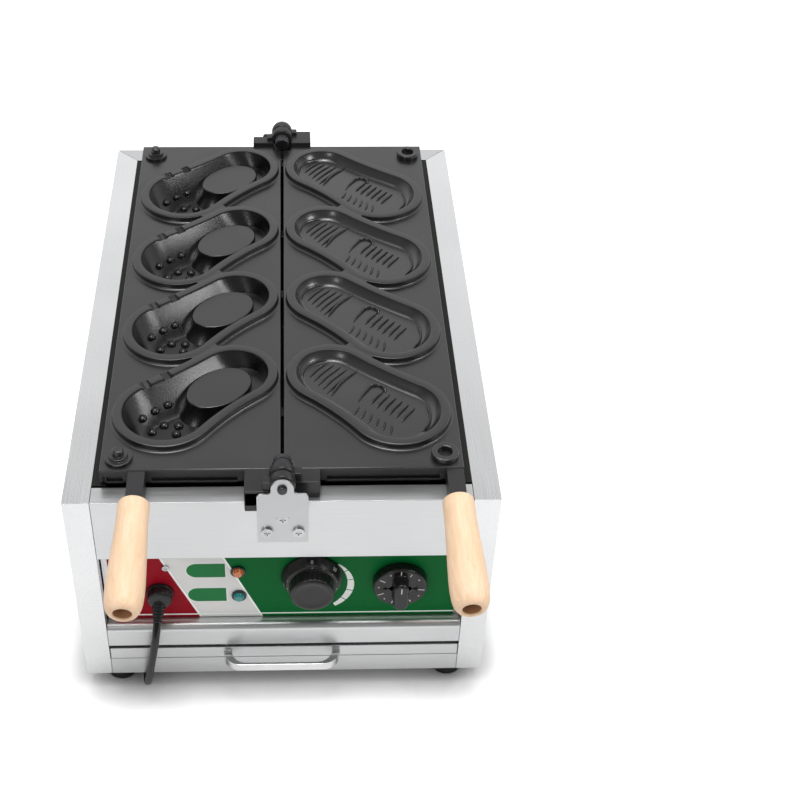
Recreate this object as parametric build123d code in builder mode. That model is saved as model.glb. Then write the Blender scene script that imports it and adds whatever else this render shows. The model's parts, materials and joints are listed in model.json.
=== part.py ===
from build123d import *
import math
import os

os.makedirs("parts", exist_ok=True)

# Casing, in millimetres: X runs to the right, Y to the rear, Z up, and the feet stand on Z = 0
casing_width = 360.0
casing_depth = 545.0
casing_height = 220.0
foot_height = 20.0
sheet = 1.5
side_flange = 22.5
front_flange = 18.5
rear_flange = 21.3
flange_lip = 10.0
piece_gap = 0.3

# Control front, from the top of the casing down
upper_panel_height = 67.0
panel_recess = 12.0
shelf_height = 26.2
shelf_edge_radius = 6.5
shelf_lower_radius = 2.5
shelf_gap = 2.6
drawer_front_height = 13.4
drawer_gap = 0.5
base_lip_height = 20.8
bay_depth = 82.0
label_thickness = 0.5
label_margin = 5.0

# Mould plates and their moulds
plate_set_back = 22.0
plate_rear_gap = 19.0
plate_side_gap = 7.5
plate_middle_gap = 3.5
plate_thickness = 7.0
plate_skirt_wall = 5.0
plate_skirt_height = 16.0
rim_height = 5.75
parting_gap = 0.25
mould_count = 4
mould_margin = 56.0
heel_inset = 41.25
heel_set_back = 117.0
toe_inset = 50.5
toe_set_back = 67.0
heel_radius = 30.5
toe_radius = 36.5
rim_width = 8.5
front_waist_radius = 240.0
rear_waist_radius = 450.0
shoe_depth = 25.0
sole_depth = 9.0
cup_wall = 4.0
groove_depth = 14.0
groove_end = 34.0
plateau_depth = 8.0
plateau_centre = 16.5
plateau_radii = (31.7, 22.5)
plateau_foot_centre = 20.0
plateau_foot_radii = (38.0, 24.5)
web_length = 29.0
web_width = 16.0
tread_height = 1.6
bump_radius = 3.1
notch_distances = (-9.0, -29.0)
notch_inset = 1.0
notch_size = (8.0, 4.0, 3.2)
bump_spots = ((10, -24.5), (-4, -25.5), (-17, -24.5), (10, -11.5), (-3, -11), (-12, -2), (-5, 6))

# Hinge line between the plates
pin_radius = 4.0
running_gap = 0.06
knuckle_radius = 11.0
knuckle_length = 10.0
knuckle_gap = 0.5
pin_head_radius = 7.6
pin_head_length = 12.0
pin_end = 3.0
ear_radius = 9.4
bracket_width = 42.0
bracket_sheet = 2.0
bracket_stand_off = 6.0
bracket_drop = 46.0
ledge_drop = 10.3
upper_screw_drop = 17.5
lower_screw_drop = 33.2
lower_screw_spacing = 26.0
screw_head_radius = 5.2
arm_lip_drop = 5.4
arm_lip_thickness = 3.0
arm_inner = 13.0
arm_outer = 31.0

# Wooden grips
grip_length = 104.0
grip_start_reach = 9.5
grip_droop = 8.3
grip_splay = 1.2
grip_neck_radius = 13.0
grip_belly_radius = 15.7
grip_hole_radius = 7.4
grip_hole_depth = 16.0
grip_stud_radius = 4.0
left_handle_inset = 30.7
right_handle_inset = 7.7
handle_bar_width = 14.0
handle_bar_height = 14.0
handle_bar_reach = 7.0

# Drawer
drawer_rear_gap = 57.0
drawer_wall = 1.2
drawer_handle_x = -2.5
handle_span = 105.0
handle_projection = 16.6
handle_height = 8.8
handle_thickness = 2.5
handle_root = 7.5
handle_radius = 16.0

# Controls
thermostat_x = 24.5
thermostat_drop = 36.0
timer_inset = 56.0
timer_rise = 1.45
lamp_x = -39.5
amber_rise = 15.75
teal_fall = 15.65
gland_inset = 49.0
gland_fall = 10.85
dial_radius = 26.8
dial_rim = 2.0
dial_depth = 10.5
dial_front_radius = 22.5
knob_radius = 19.8
knob_depth = 23.0
knob_gap = 1.0
timer_disc_radius = 24.0
timer_disc_thickness = 9.0
timer_grip_width = 14.0
timer_grip_length = 33.0
timer_grip_depth = 12.0
shaft_radius = 3.0
bezel_radius = 6.6
lens_radius = 4.9

# Heating
element_radius = 4.0
element_turn_flat = 4.0
element_lift = 4.0
element_inner = 24.0
element_side_gap = 31.5
element_rear_gap = 45.0
element_end_length = 26.0
bead_height = 8.0
bead_wall = 3.5
support_sheet = 3.0

# Power cord
cord_diameter = 7.0
coil_tie_sheet = 1.2

# Heights that follow from the sizes above
top = foot_height + casing_height
parting = top + plate_skirt_height + rim_height + parting_gap
plate_top = top + plate_skirt_height
skirt_bottom = top + piece_gap
upper_panel_bottom = top - upper_panel_height
base_lip_top = foot_height + base_lip_height
drawer_bottom = base_lip_top + drawer_gap
drawer_front_top = drawer_bottom + drawer_front_height
shelf_bottom = drawer_front_top + shelf_gap
shelf_top = shelf_bottom + shelf_height
panel_middle = (shelf_top + upper_panel_bottom) / 2
thermostat_z = upper_panel_bottom - thermostat_drop
timer_z = panel_middle + timer_rise
amber_z = panel_middle + amber_rise
teal_z = panel_middle - teal_fall
gland_z = panel_middle - gland_fall
bay_top = upper_panel_bottom + 5.0

# Places along the depth, with the origin in the middle of the whole footprint
grip_reach = grip_start_reach + grip_length * math.cos(math.radians(grip_droop))
bracket_front = bracket_stand_off + bracket_sheet
rear_reach = bracket_front + pin_end
front = (grip_reach - casing_depth - rear_reach) / 2
rear = front + casing_depth
middle = (front + rear) / 2
panel_face = front + panel_recess
plate_length = casing_depth - plate_set_back - plate_rear_gap
plate_front = front + plate_set_back
plate_rear = plate_front + plate_length
mould_pitch = (plate_length - mould_margin) / mould_count
drawer_length = casing_depth - drawer_rear_gap
half_width = casing_width / 2
opening_half = half_width - side_flange
plate_inner = plate_middle_gap / 2
plate_width = opening_half - plate_side_gap - plate_inner
plate_outer = plate_inner + plate_width
heel_centre = (plate_inner + heel_inset, plate_set_back + heel_set_back)
toe_centre = (plate_outer - toe_inset, plate_set_back + toe_set_back)
left_handle_x = plate_outer - left_handle_inset
right_handle_x = plate_outer - right_handle_inset
timer_x = opening_half - timer_inset
gland_x = gland_inset - opening_half
bay_rear = panel_face + bay_depth
element_outer = opening_half - element_side_gap
element_pitch = (element_outer - element_inner) / 3
element_lanes = [element_inner + index * element_pitch for index in range(4)]
element_bend = (element_pitch - element_turn_flat) / 2
element_height = bay_top + bead_height + element_bend + element_lift
element_legs = (-element_outer, -element_inner, element_inner, element_outer)


def write(piece, node):
    """Label a finished piece and write it as its own STEP file."""
    piece.part.label = node
    export_step(piece.part, f"parts/{node}.step")


def block(x_range, y_range, z_range, mode=Mode.ADD):
    """Box between two limits along each axis, in either order."""
    centres = [(a + b) / 2 for a, b in (x_range, y_range, z_range)]
    sizes = [abs(b - a) for a, b in (x_range, y_range, z_range)]
    with Locations(tuple(centres)):
        Box(*sizes, mode=mode)


def rod(centre, radius, length, axis="Z", mode=Mode.ADD):
    """Cylinder whose middle is at centre, along one axis of the frame."""
    turns = {"X": (0, 90, 0), "Y": (90, 0, 0), "Z": (0, 0, 0)}
    with Locations(Location(centre, turns[axis])):
        Cylinder(radius, length, mode=mode)


# Side panels: outer wall, front and top flanges with their returned lips
for side, node in ((-1, "side_panel_left"), (1, "side_panel_right")):
    inner = side * opening_half
    outer = side * half_width
    with BuildPart() as side_panel:
        block((outer, outer - side * sheet), (front, rear), (foot_height, top))
        block((inner, outer), (front, front + sheet), (foot_height, top))
        block((inner, inner + side * sheet), (front, front + flange_lip), (foot_height, top))
        block((inner, outer), (front, rear), (top - sheet, top))
        lip_y = (front + front_flange + 1, rear - rear_flange - 1)
        block((inner, inner + side * sheet), lip_y, (top - 15, top))
        with BuildSketch(Plane.XY.offset(top - 2 * sheet)):
            with BuildLine():
                Polyline(
                    (outer + side, rear + 1),
                    (inner - side, rear - rear_flange - rear_flange / side_flange - piece_gap),
                    (inner - side, rear + 1),
                    close=True,
                )
            make_face()
        extrude(amount=2 * sheet + 1, mode=Mode.SUBTRACT)
        wall_cut_x = (outer + side, outer - side * (sheet + piece_gap))
        block(wall_cut_x, (rear - 2 * sheet, rear + 1), (top - 2 * sheet, top + 1), mode=Mode.SUBTRACT)
    write(side_panel, node)

# Rear panel with its mitred top flange
with BuildPart() as rear_panel:
    rear_half = half_width - sheet - piece_gap
    block((-rear_half, rear_half), (rear - sheet, rear), (foot_height, top))
    with BuildSketch(Plane.XY.offset(top - sheet)):
        with BuildLine():
            Polyline(
                (-half_width + 2 * piece_gap, rear),
                (half_width - 2 * piece_gap, rear),
                (opening_half, rear - rear_flange),
                (-opening_half, rear - rear_flange),
                close=True,
            )
        make_face()
    extrude(amount=sheet)
    lip_inner = rear - rear_flange
    block((-opening_half, opening_half), (lip_inner, lip_inner + sheet), (top - 15, top))
write(rear_panel, "rear_panel")

# Front upper panel: face, top flange and the return that covers the control front
front_half = opening_half - piece_gap
with BuildPart() as front_upper_panel:
    block((-front_half, front_half), (front, front + sheet), (upper_panel_bottom, top))
    block((-front_half, front_half), (front, front + front_flange), (top - sheet, top))
    lip_outer = front + front_flange
    block((-front_half, front_half), (lip_outer - sheet, lip_outer), (top - 15, top))
    return_z = (upper_panel_bottom, upper_panel_bottom + sheet)
    block((-front_half, front_half), (front, panel_face - piece_gap), return_z)
write(front_upper_panel, "front_upper_panel")

# Shelf rail between the control panel and the drawer, bent over a rounded edge
with BuildPart() as shelf_rail:
    with BuildSketch(Plane.YZ.offset(-front_half)):
        with BuildLine():
            FilletPolyline(
                (panel_face - piece_gap, shelf_top),
                (front, shelf_top),
                (front, shelf_bottom),
                (panel_face - piece_gap, shelf_bottom),
                radius=[shelf_edge_radius, shelf_lower_radius],
            )
            Line((panel_face - piece_gap, shelf_bottom), (panel_face - piece_gap, shelf_top))
        make_face()
        with BuildLine():
            FilletPolyline(
                (panel_face, shelf_top - sheet),
                (front + sheet, shelf_top - sheet),
                (front + sheet, shelf_bottom + sheet),
                (panel_face, shelf_bottom + sheet),
                radius=[shelf_edge_radius - sheet, shelf_lower_radius - sheet],
            )
            Line((panel_face, shelf_bottom + sheet), (panel_face, shelf_top - sheet))
        make_face(mode=Mode.SUBTRACT)
    extrude(amount=2 * front_half)
write(shelf_rail, "shelf_rail")

# Base pan: floor, side upstands, rear upstand and the front lip below the drawer
pan_half = half_width - sheet - piece_gap
with BuildPart() as base_pan:
    pan_front = front + flange_lip + piece_gap
    pan_rear = rear - sheet - piece_gap
    floor_z = (foot_height, foot_height + sheet)
    block((-pan_half, pan_half), (pan_front, pan_rear), floor_z)
    block((-front_half, front_half), (front, pan_rear), floor_z)
    block((-front_half, front_half), (front, front + sheet), (foot_height, base_lip_top))
    for side in (-1, 1):
        upstand_x = (side * pan_half, side * (pan_half - sheet))
        block(upstand_x, (pan_front, pan_rear), (foot_height, foot_height + 15))
    block((-pan_half, pan_half), (pan_rear - sheet, pan_rear), (foot_height, foot_height + 15))
write(base_pan, "base_pan")

# Feet with their recessed screws
foot_radius = 14.0
foot_x = half_width - 29
foot_spots = [(x, y) for x in (-foot_x, foot_x) for y in (front + 22, rear - 22)]
with BuildPart() as feet:
    with BuildSketch():
        with Locations(*foot_spots):
            Circle(foot_radius)
    extrude(amount=foot_height)
    chamfer(feet.edges().group_by(Axis.Z)[0], 1.5)
    with BuildSketch():
        with Locations(*foot_spots):
            Circle(5.5)
    extrude(amount=8, mode=Mode.SUBTRACT)
    with BuildSketch():
        with Locations(*foot_spots):
            Circle(2.6)
    extrude(amount=foot_height, mode=Mode.SUBTRACT)
write(feet, "feet")

with BuildPart() as foot_screws:
    with BuildSketch(Plane.XY.offset(8 - 3.5)):
        with Locations(*foot_spots):
            Circle(4.6)
    extrude(amount=3.5)
    with BuildSketch(Plane.XY.offset(8)):
        with Locations(*foot_spots):
            Circle(2.5)
    extrude(amount=foot_height - 8)
write(foot_screws, "foot_screws")

# Control panel with the holes for everything that passes through it
panel_half = opening_half - 1.0
control_spots = {
    "gland": (gland_x, gland_z, 6.6),
    "amber": (lamp_x, amber_z, 4.2),
    "teal": (lamp_x, teal_z, 4.2),
    "thermostat": (thermostat_x, thermostat_z, 5.2),
    "timer": (timer_x, timer_z, 5.2),
}
with BuildPart() as control_panel:
    panel_z = (shelf_bottom + sheet + 1, upper_panel_bottom + sheet + 8)
    block((-panel_half, panel_half), (panel_face, panel_face + sheet), panel_z)
    for x, z, radius in control_spots.values():
        rod((x, panel_face, z), radius, 4 * sheet, "Y", mode=Mode.SUBTRACT)
write(control_panel, "control_panel")

# Printed label on the control panel
label_half = panel_half - label_margin
label_z = (shelf_top + 0.5, upper_panel_bottom - 0.5)
with BuildPart() as panel_label:
    block((-label_half, label_half), (panel_face - label_thickness, panel_face), label_z)
    for x, z, radius in control_spots.values():
        rod((x, panel_face, z), radius, 4 * sheet, "Y", mode=Mode.SUBTRACT)
write(panel_label, "panel_label")

# Bay of bent sheet that shields the controls from the heat and the drawer
bay_half = opening_half - 2.0
bay_bottom = shelf_bottom
capillary_exit = (thermostat_x + 34, bay_top)
element_legs_y = panel_face + 50
with BuildPart() as control_bay:
    bay_y = (panel_face + sheet + piece_gap, bay_rear)
    block((-bay_half, bay_half), bay_y, (bay_top - 1.2, bay_top))
    block((-bay_half, bay_half), bay_y, (bay_bottom, bay_bottom + 1.2))
    block((-bay_half, bay_half), (bay_rear - 1.2, bay_rear), (bay_bottom, bay_top))
    for leg_x in element_legs:
        rod((leg_x, element_legs_y, bay_top), element_radius + 1.5, 6, mode=Mode.SUBTRACT)
    rod((capillary_exit[0], element_legs_y, bay_top), 2.5, 6, mode=Mode.SUBTRACT)
write(control_bay, "control_bay")

# Rails under the outer edges of the plates, hung on the lips of the side panels
rail_height = 14.0
with BuildPart() as plate_rest_rails:
    for side in (-1, 1):
        hang = side * opening_half
        shelf_z = (skirt_bottom - piece_gap - 1.5, skirt_bottom - piece_gap)
        rail_y = (front + front_flange + 2, rear - rear_flange - 2)
        block((hang, hang - side * 1.5), rail_y, (skirt_bottom - rail_height, shelf_z[1]))
        block((hang, side * (plate_outer - plate_skirt_wall)), rail_y, shelf_z)
write(plate_rest_rails, "plate_rest_rails")

# Liners round the heating chamber
liner_x = opening_half - 1.5
liner_bottom = shelf_bottom
liner_top = skirt_bottom - rail_height + 8
with BuildPart() as side_liners:
    for side in (-1, 1):
        liner_y = (bay_rear + piece_gap, rear - rear_flange - 4)
        block((side * liner_x, side * (liner_x - 1)), liner_y, (liner_bottom, liner_top))
write(side_liners, "side_liners")

with BuildPart() as rear_liner:
    rear_liner_y = rear - rear_flange - 4 + piece_gap
    liner_half = liner_x
    block((-liner_half, liner_half), (rear_liner_y, rear_liner_y + 1), (liner_bottom, liner_top))
    block((-liner_half, liner_half), (rear_liner_y, rear - rear_flange), (liner_top - 1, liner_top))
write(rear_liner, "rear_liner")

# Tubular heating elements, one meander under each plate, with cold ends in the bay
element_rear = rear - rear_flange - element_rear_gap
leg_bottom = bay_top - element_end_length
element_nodes = ((-1, "left_heating_element"), (1, "right_heating_element"))
for side, node in element_nodes:
    lanes = [side * lane for lane in element_lanes]
    with BuildPart() as element:
        with BuildLine() as element_path:
            FilletPolyline(
                (lanes[3], element_legs_y, leg_bottom),
                (lanes[3], element_legs_y, element_height),
                (lanes[3], element_rear, element_height),
                (lanes[2], element_rear, element_height),
                (lanes[2], bay_rear + 30, element_height),
                (lanes[1], bay_rear + 30, element_height),
                (lanes[1], element_rear, element_height),
                (lanes[0], element_rear, element_height),
                (lanes[0], element_legs_y, element_height),
                (lanes[0], element_legs_y, leg_bottom),
                radius=element_bend,
            )
        with BuildSketch(Plane(origin=(lanes[3], element_legs_y, leg_bottom), z_dir=(0, 0, 1))):
            Circle(element_radius)
        sweep(path=element_path.line)
    write(element, node)

with BuildPart() as element_supports:
    for y in (bay_rear + 60, middle + 60, element_rear - 40):
        support_top = element_height - element_radius
        block((-(liner_x - 1), liner_x - 1), (y - 6, y + 6), (support_top - support_sheet, support_top))
        for side in (-1, 1):
            end_x = (side * (liner_x - 1), side * (liner_x - support_sheet))
            block(end_x, (y - 6, y + 6), (support_top - 18, support_top))
write(element_supports, "element_supports")

# Porcelain beads on the cold ends, seated on the roof of the bay
with BuildPart() as element_beads:
    for leg_x in element_legs:
        bead_middle = bay_top + bead_height / 2
        rod((leg_x, element_legs_y, bead_middle), element_radius + bead_wall, bead_height)
        rod((leg_x, element_legs_y, bay_top), element_radius + running_gap, 30, mode=Mode.SUBTRACT)
write(element_beads, "element_beads")

# Terminal block on the floor of the bay
with BuildPart() as terminal_block:
    terminal_floor = bay_bottom + 1.2
    block((-95, -35), (bay_rear - 30, bay_rear - 6), (terminal_floor, terminal_floor + 18))
    with BuildSketch(Plane.XY.offset(terminal_floor + 18)):
        with Locations((-65, bay_rear - 18)):
            with GridLocations(14, 12, 4, 2):
                Circle(3.2)
    extrude(amount=-5, mode=Mode.SUBTRACT)
write(terminal_block, "terminal_block")

# Thermostat body behind the panel, its bulb and the capillary between them
body_front = panel_face + sheet
with BuildPart() as thermostat_body:
    block(
        (thermostat_x - 19, thermostat_x + 19),
        (body_front + 6, body_front + 38),
        (thermostat_z - 17, thermostat_z + 17),
    )
    rod((thermostat_x, body_front + 3, thermostat_z), 9, 6, "Y")
    rod((thermostat_x, panel_face + 3, thermostat_z), 5, 6, "Y")
    bore_length = 24
    bore_y = body_front + 6 - bore_length / 2 + 6
    rod(
        (thermostat_x, bore_y, thermostat_z),
        shaft_radius + running_gap,
        bore_length,
        "Y",
        mode=Mode.SUBTRACT,
    )
write(thermostat_body, "thermostat_body")

bulb_radius = 3.0
capillary_radius = 1.0
bulb_z = element_height - element_radius - support_sheet - bulb_radius - 4
capillary_start = (thermostat_x + 19, body_front + 22, thermostat_z)
bulb_start = (capillary_exit[0], bay_rear + 40, bulb_z)
with BuildPart() as thermostat_bulb:
    with BuildLine() as capillary_path:
        FilletPolyline(
            capillary_start,
            (capillary_exit[0], body_front + 22, thermostat_z),
            (capillary_exit[0], element_legs_y, thermostat_z + 20),
            (capillary_exit[0], element_legs_y, bulb_z),
            bulb_start,
            radius=7.0,
        )
    with BuildSketch(Plane(origin=capillary_start, z_dir=(1, 0, 0))):
        Circle(capillary_radius)
    sweep(path=capillary_path.line)
    rod((bulb_start[0], bulb_start[1] + 45, bulb_z), bulb_radius, 90, "Y")
write(thermostat_bulb, "thermostat_bulb")

# Timer body with its clockwork housing
with BuildPart() as timer_body:
    block(
        (timer_x - 22, timer_x + 22),
        (body_front + 2, body_front + 34),
        (timer_z - 22, timer_z + 22),
    )
    rod((timer_x, panel_face + 3, timer_z), 5, 6, "Y")
    rod(
        (timer_x, body_front + 14 - 12, timer_z),
        shaft_radius + running_gap,
        24,
        "Y",
        mode=Mode.SUBTRACT,
    )
write(timer_body, "timer_body")

# Knobs and the shafts that they turn
label_face = panel_face - label_thickness
shaft_back = body_front + 6 + 5
dial_back = label_face - knob_gap
with BuildPart() as thermostat_shaft:
    shaft_front = dial_back - 14
    rod(
        (thermostat_x, (shaft_back + shaft_front) / 2, thermostat_z),
        shaft_radius,
        shaft_back - shaft_front,
        "Y",
    )
write(thermostat_shaft, "thermostat_shaft")

thermostat_plane = Plane(origin=(thermostat_x, dial_back, thermostat_z), x_dir=(1, 0, 0), z_dir=(0, -1, 0))
dial_slope = math.degrees(math.atan((dial_radius - dial_front_radius) / (dial_depth - dial_rim)))
with BuildPart() as thermostat_knob:
    with BuildSketch(thermostat_plane):
        Circle(dial_radius)
    extrude(amount=dial_rim)
    with BuildSketch(thermostat_plane.offset(dial_rim)):
        Circle(dial_radius)
    extrude(amount=dial_depth - dial_rim, taper=dial_slope)
    with BuildSketch(thermostat_plane.offset(dial_depth)):
        Circle(knob_radius)
        with PolarLocations(knob_radius + 1.2, 24):
            Circle(2.0, mode=Mode.SUBTRACT)
    extrude(amount=knob_depth - dial_depth, taper=2)
    with BuildSketch(thermostat_plane.offset(knob_depth)):
        Circle(knob_radius - 6)
    extrude(amount=-1.2, mode=Mode.SUBTRACT)
    with BuildSketch(thermostat_plane):
        Circle(shaft_radius)
    extrude(amount=14, mode=Mode.SUBTRACT)
write(thermostat_knob, "thermostat_knob")

with BuildPart() as timer_shaft:
    timer_back = body_front + 12
    timer_shaft_front = dial_back - 12
    rod(
        (timer_x, (timer_back + timer_shaft_front) / 2, timer_z),
        shaft_radius,
        timer_back - timer_shaft_front,
        "Y",
    )
write(timer_shaft, "timer_shaft")

timer_plane = Plane(origin=(timer_x, dial_back, timer_z), x_dir=(1, 0, 0), z_dir=(0, -1, 0))
with BuildPart() as timer_knob:
    with BuildSketch(timer_plane):
        Circle(timer_disc_radius)
    extrude(amount=timer_disc_thickness, taper=8)
    with BuildSketch(timer_plane.offset(timer_disc_thickness)):
        SlotOverall(timer_grip_length, timer_grip_width, rotation=90)
    extrude(amount=timer_grip_depth, taper=5)
    with BuildSketch(timer_plane):
        Circle(shaft_radius)
    extrude(amount=12, mode=Mode.SUBTRACT)
write(timer_knob, "timer_knob")

# Indicator lamps: bezels, lenses and the bodies behind the panel
with BuildPart() as lamp_bezels:
    for z in (amber_z, teal_z):
        rod((lamp_x, label_face - 1, z), bezel_radius, 2, "Y")
        rod((lamp_x, label_face, z), 4.0, 4, "Y", mode=Mode.SUBTRACT)
        rod((lamp_x, label_face - 1.5, z), lens_radius, 1.0, "Y", mode=Mode.SUBTRACT)
write(lamp_bezels, "lamp_bezels")

for node, z in (("amber_lens", amber_z), ("teal_lens", teal_z)):
    with BuildPart() as lens:
        lens_seat = label_face - 1.0
        with BuildSketch(Plane(origin=(lamp_x, lens_seat, z), x_dir=(1, 0, 0), z_dir=(0, -1, 0))):
            Circle(lens_radius)
        extrude(amount=1.5)
        with BuildSketch(Plane(origin=(lamp_x, lens_seat - 1.5, z), x_dir=(1, 0, 0), z_dir=(0, -1, 0))):
            Circle(lens_radius)
        extrude(amount=2.5, taper=32)
        rod((lamp_x, lens_seat + 5, z), 3.9, 10, "Y")
    write(lens, node)

with BuildPart() as lamp_bodies:
    for z in (amber_z, teal_z):
        rod((lamp_x, body_front + 12, z), 6.5, 24, "Y")
        rod((lamp_x, body_front + 1, z), 4.1, 14, "Y", mode=Mode.SUBTRACT)
write(lamp_bodies, "lamp_bodies")

# Hinge pins: a head inboard, a shank through both knuckles and the ear, a peened end
# Hinge brackets: stepped sheet with a round ear, screwed to the casing
outer_knuckle_start = -(bracket_stand_off - knuckle_gap)
inner_knuckle_start = outer_knuckle_start + knuckle_length + knuckle_gap
head_start = inner_knuckle_start + knuckle_length + knuckle_gap
bracket_bottom = top - bracket_drop
ledge_bottom = top - ledge_drop
ledge_top = ledge_bottom + bracket_sheet
shoulder = parting - 6
screw_half = lower_screw_spacing / 2
screw_spots = (
    (0, top - upper_screw_drop),
    (-screw_half, top - lower_screw_drop),
    (screw_half, top - lower_screw_drop),
)
bracket_ends = (
    (front, 1, "front_hinge_bracket", "front_hinge_pin"),
    (rear, -1, "rear_hinge_bracket", "rear_hinge_pin"),
)
for face, inward, bracket_node, pin_node in bracket_ends:
    outside = face - inward * bracket_front
    with BuildPart() as bracket:
        with BuildSketch(Plane.YZ.offset(-bracket_width / 2)):
            with BuildLine():
                Polyline(
                    (face, bracket_bottom),
                    (face, ledge_top),
                    (face - inward * bracket_stand_off, ledge_top),
                    (face - inward * bracket_stand_off, parting + ear_radius),
                    (outside, parting + ear_radius),
                    (outside, ledge_bottom),
                    (face - inward * bracket_sheet, ledge_bottom),
                    (face - inward * bracket_sheet, bracket_bottom),
                    close=True,
                )
            make_face()
        extrude(amount=bracket_width)
        with BuildSketch(Plane(origin=(0, outside - inward, 0), x_dir=(1, 0, 0), z_dir=(0, -1, 0))):
            with BuildLine():
                Line((-bracket_width / 2, bracket_bottom), (bracket_width / 2, bracket_bottom))
                FilletPolyline(
                    (bracket_width / 2, bracket_bottom),
                    (bracket_width / 2, shoulder),
                    (ear_radius, shoulder),
                    (ear_radius, parting),
                    radius=3.5,
                )
                ThreePointArc((ear_radius, parting), (0, parting + ear_radius), (-ear_radius, parting))
                FilletPolyline(
                    (-ear_radius, parting),
                    (-ear_radius, shoulder),
                    (-bracket_width / 2, shoulder),
                    (-bracket_width / 2, bracket_bottom),
                    radius=3.5,
                )
            make_face()
        extrude(amount=-inward * 3 * bracket_front, mode=Mode.INTERSECT)
        rod((0, outside, parting), pin_radius + running_gap, 4 * bracket_sheet, "Y", mode=Mode.SUBTRACT)
        for x, z in screw_spots:
            rod((x, face, z), 2.6, 6 * bracket_sheet, "Y", mode=Mode.SUBTRACT)
    write(bracket, bracket_node)

    head_y = face + inward * (head_start + pin_head_length / 2)
    pin_outer = outside - inward * pin_end
    pin_inner = face + inward * (head_start + pin_head_length / 2)
    with BuildPart() as pin:
        rod((0, (pin_outer + pin_inner) / 2, parting), pin_radius, abs(pin_inner - pin_outer), "Y")
        rod((0, head_y, parting), pin_head_radius, pin_head_length, "Y")
    write(pin, pin_node)

with BuildPart() as hinge_bracket_screws:
    for face, inward in ((front, 1), (rear, -1)):
        head_base = face - inward * bracket_sheet
        for x, z in screw_spots:
            rod((x, head_base - inward * 1.1, z), screw_head_radius, 2.2, "Y")
            rod((x, face - inward * bracket_sheet / 2, z), 2.5, bracket_sheet, "Y")
    for face, inward in ((front, 1), (rear, -1)):
        head_base = face - inward * (bracket_sheet + 2.2)
        for x, z in screw_spots:
            slot_y = (head_base, head_base + inward)
            block((x - 2.6, x + 2.6), slot_y, (z - 0.5, z + 0.5), mode=Mode.SUBTRACT)
            block((x - 0.5, x + 0.5), slot_y, (z - 2.6, z + 2.6), mode=Mode.SUBTRACT)
write(hinge_bracket_screws, "hinge_bracket_screws")

# Hinge arms: the long one carries the outer knuckle, the short one the inner knuckle
# Each plate has a long arm at one end and a short arm at the other
arm_bottom = top + piece_gap + 0.2
lip_bottom = top - arm_lip_drop
arm_places = (
    ("left_front_hinge_arm", -1, front, 1, "long"),
    ("right_front_hinge_arm", 1, front, 1, "short"),
    ("left_rear_hinge_arm", -1, rear, -1, "short"),
    ("right_rear_hinge_arm", 1, rear, -1, "long"),
)
plate_edges = {front: plate_front, rear: plate_rear}
arm_tops = {front: plate_top + 1.0, rear: plate_top + 4.0}
knuckle_starts = {"long": outer_knuckle_start, "short": inner_knuckle_start}
for node, side, face, inward, kind in arm_places:
    start = knuckle_starts[kind]
    knuckle_y = (face + inward * start, face + inward * (start + knuckle_length))
    arm_y = (face + inward * start, plate_edges[face])
    arm_top = arm_tops[face]
    with BuildPart() as arm:
        block((side * arm_inner, side * arm_outer), arm_y, (arm_bottom, arm_top))
        if kind == "long":
            lip_y = (face + inward * start, face + inward * (start + arm_lip_thickness))
            block((side * arm_inner, side * arm_outer), lip_y, (lip_bottom, arm_top))
        block((side * 2, side * arm_inner), knuckle_y, (parting - knuckle_radius + 0.5, arm_top))
        lug_top = min(parting + 4, 2 * parting - arm_top - 2 * parting_gap)
        block((side * 8, side * (arm_inner + 3)), knuckle_y, (arm_top, lug_top))
        rod((0, sum(knuckle_y) / 2, parting), knuckle_radius, knuckle_length, "Y")
        rod((0, sum(knuckle_y) / 2, parting), pin_radius + running_gap, 30, "Y", mode=Mode.SUBTRACT)
    write(arm, node)


def clog_outline(grow, side):
    """Clog-shaped face about its heel centre, seen from above, grown outwards by grow."""
    heel = Vector(side * heel_centre[0], heel_centre[1])
    toe = Vector(side * toe_centre[0], toe_centre[1])
    span = (toe - heel).length
    along = (toe - heel).normalized()
    across = Vector(-along.Y, along.X) * -side
    r_heel = heel_radius + grow
    r_toe = toe_radius + grow
    corners = []
    middles = []
    for waist, hand in ((front_waist_radius - grow, 1), (rear_waist_radius - grow, -1)):
        from_heel = r_heel + waist
        from_toe = r_toe + waist
        reach = (from_heel**2 - from_toe**2 + span**2) / (2 * span)
        rise = math.sqrt(from_heel**2 - reach**2)
        centre = along * reach + across * hand * rise
        to_heel = (-centre).normalized()
        to_toe = (along * span - centre).normalized()
        corners.append((centre + to_heel * waist, centre + to_toe * waist))
        middles.append(centre + (to_heel + to_toe).normalized() * waist)
    heel_back = along * -r_heel
    toe_tip = along * (span + r_toe)
    with BuildSketch() as outline:
        with BuildLine():
            ThreePointArc(corners[1][0], heel_back, corners[0][0])
            ThreePointArc(corners[0][0], middles[0], corners[0][1])
            ThreePointArc(corners[0][1], toe_tip, corners[1][1])
            ThreePointArc(corners[1][1], middles[1], corners[1][0])
        make_face()
    return outline.sketch


def clog_bowl(depth, steps, side):
    """Smooth hollow that narrows with depth: steps pair a share of depth with an inset in mm."""
    sections = []
    for share, inset in steps:
        sections.append(Pos(0, 0, -share * depth) * clog_outline(-inset, side))
    return loft(sections=sections, mode=Mode.PRIVATE)


def bowl_depth(depth, steps, inset):
    """Depth of a hollow at an inset from its edge, between the steps that shape it."""
    for (share, start), (next_share, end) in zip(steps, steps[1:]):
        if inset <= end:
            return depth * (share + (next_share - share) * (inset - start) / (end - start))
    return depth


def waist_half(distance):
    """Half the width of a mould's mouth, at a distance from the toe centre away from the heel."""
    return toe_radius + distance * (toe_radius - heel_radius) / clog_span


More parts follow.
